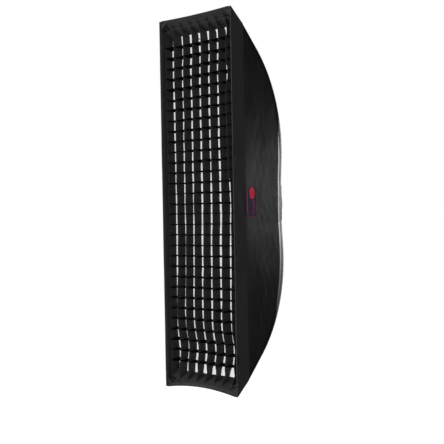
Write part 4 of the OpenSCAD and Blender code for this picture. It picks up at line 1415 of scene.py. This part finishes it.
    def ties(self) -> None:
        """Makes the gussets that run from the uprights' ends to the lips."""
        piece = Piece("grid_end_gussets", (GRID, THREAD))
        along, across = grids(np.linspace(0, 1, 12), np.linspace(0, 1, 7))
        y = self.front_y + 3 * MM - self.tie_length * along
        z = self.end_z(y, self.lip_gap) - (self.tie_height * (1 - along) + 1 * MM) * across
        for column in range(1, self.cells):
            lean = 3.5 * MM * np.sin(math.pi * across) * (1 - along) * (1 if column % 2 else -1)
            for up in (1, -1):
                points = points_at(self.upright_x(column, 0.66 * up) + lean, y, up * z)
                piece.cloth(points, 0.9 * MM, middle=True)
                piece.stitches(points[:, 3] + 0.5 * MM * X, X, 1, pitch=3.4 * MM, length=2.4 * MM)
        piece.finish(Body.GRID, "grid_cloth", "grid_end_tabs")

    def tapes(self) -> None:
        """Makes the hook tapes on the side borders."""
        piece = Piece("grid_tapes", (HOOKS, THREAD))
        side_tapes(piece, "grid_hook_tapes", 0.15 * MM, 1, (0.12 * MM, 0.1, 621), 0.05 * MM, 0.2 * MM)
        piece.finish(Body.GRID, "hook_tape", "grid_hook_tapes")

    def build(self) -> None:
        """Makes the whole grid."""
        self.uprights()
        self.crossbars()
        self.borders()
        self.ties()
        self.tapes()


def dress_cad_nodes() -> None:
    """Gives every hard CAD node its finish."""
    for finish, nodes in CAD_FINISHES.items():
        for node in nodes:
            for place in bpy.data.objects[node].material_slots:
                place.material = finish.material()
            log.info("%s: %s", node, finish.name)


# ---------------------------------------------------------------- studio


@dataclass
class Studio:
    """Camera, pale floor and soft lights.

    Attributes:
        layout: The shell's main edges.
        from_rim: The camera's place from the middle of the rim, in metres.
        yaw: How far it turns to the left, in degrees.
        pitch: How far it looks up.
        roll: How far it leans.
        lens: Focal length on a 36 mm sensor.
        floor_z: Height of the floor.
        floor_half: Half the floor's width.
    """

    layout: Layout
    from_rim: tuple[float, float, float] = (1.93845, -2.23684, -0.05823)
    yaw: float = 39.137
    pitch: float = -0.264
    roll: float = 1.069
    lens: float = 64.86
    floor_z: float = -1.25
    floor_half: float = 9.0

    def camera(self) -> None:
        """Makes the camera."""
        data = bpy.data.cameras.new("studio_camera")
        data.lens, data.sensor_width, data.clip_end = self.lens, 36, 60
        camera = set_down("studio_camera", data)
        turn = Matrix(((1, 0, 0), (0, 0, -1), (0, 1, 0)))
        for angle, axis in ((self.roll, "Y"), (self.pitch, "X"), (self.yaw, "Z")):
            turn = Matrix.Rotation(math.radians(angle), 3, axis) @ turn
        camera.rotation_euler = turn.to_euler()
        camera.location = Vector(self.from_rim) + Vector((0, self.layout.rim_y, 0))
        bpy.context.scene.camera = camera

    def floor(self) -> None:
        """Makes the plain pale floor."""
        mesh = bpy.data.meshes.new("studio_floor")
        corners = [(-1, -1), (1, -1), (1, 1), (-1, 1)]
        mesh.from_pydata([(x * self.floor_half, y * self.floor_half, self.floor_z) for x, y in corners],
                         [], [(0, 1, 2, 3)])
        shader = Shader("pale_floor")
        shader.set(Base_Color=(0.88, 0.88, 0.88, 1), Roughness=0.8, Specular_IOR_Level=0.1,
                   Emission_Color=(1, 1, 1, 1), Emission_Strength=0.12)
        mesh.materials.append(shader.material)
        set_down("studio_floor", mesh)

    def light(self, name: str, place: tuple[float, float, float], aim: tuple[float, float, float],
              size: float, power: float) -> None:
        """Makes a square soft light.

        Args:
            name: Its name.
            place: Where it stands.
            aim: The point that it faces.
            size: Its width.
            power: Its power in watts.
        """
        data = bpy.data.lights.new(name, "AREA")
        data.shape, data.size, data.energy = "SQUARE", size, power
        lamp = set_down(name, data)
        lamp.location = place
        lamp.rotation_euler = (Vector(aim) - Vector(place)).to_track_quat("-Z", "Y").to_euler()

    def build(self) -> None:
        """Makes the studio."""
        self.camera()
        self.floor()
        scene = bpy.context.scene
        scene.world = bpy.data.worlds.new("studio_white")
        scene.world.use_nodes = True
        white = scene.world.node_tree.nodes["Background"].inputs
        white["Color"].default_value = (1, 1, 1, 1)
        white["Strength"].default_value = 1.0
        self.light("key_softlight", (-1.2, -3.2, 1.6), (0, -0.3, 0), 1.6, 60)
        self.light("back_softlight", (0.46, 1.9, 0.12), (0.1, -0.2, 0.02), 0.5, 8.5)
        scene.view_settings.view_transform = "Standard"
        scene.view_settings.look = "None"


def main() -> None:
    """Builds the softbox and the studio, in order."""
    logging.basicConfig(level=logging.INFO, format="%(message)s")
    layout = Layout.from_frame()
    Studio(layout).build()
    Lip(layout).build()
    Shell(layout, SeamCurve(layout)).build()
    Diffusers().build()
    EggCrate(layout).build()
    dress_cad_nodes()


if __name__ == "__main__":
    main()
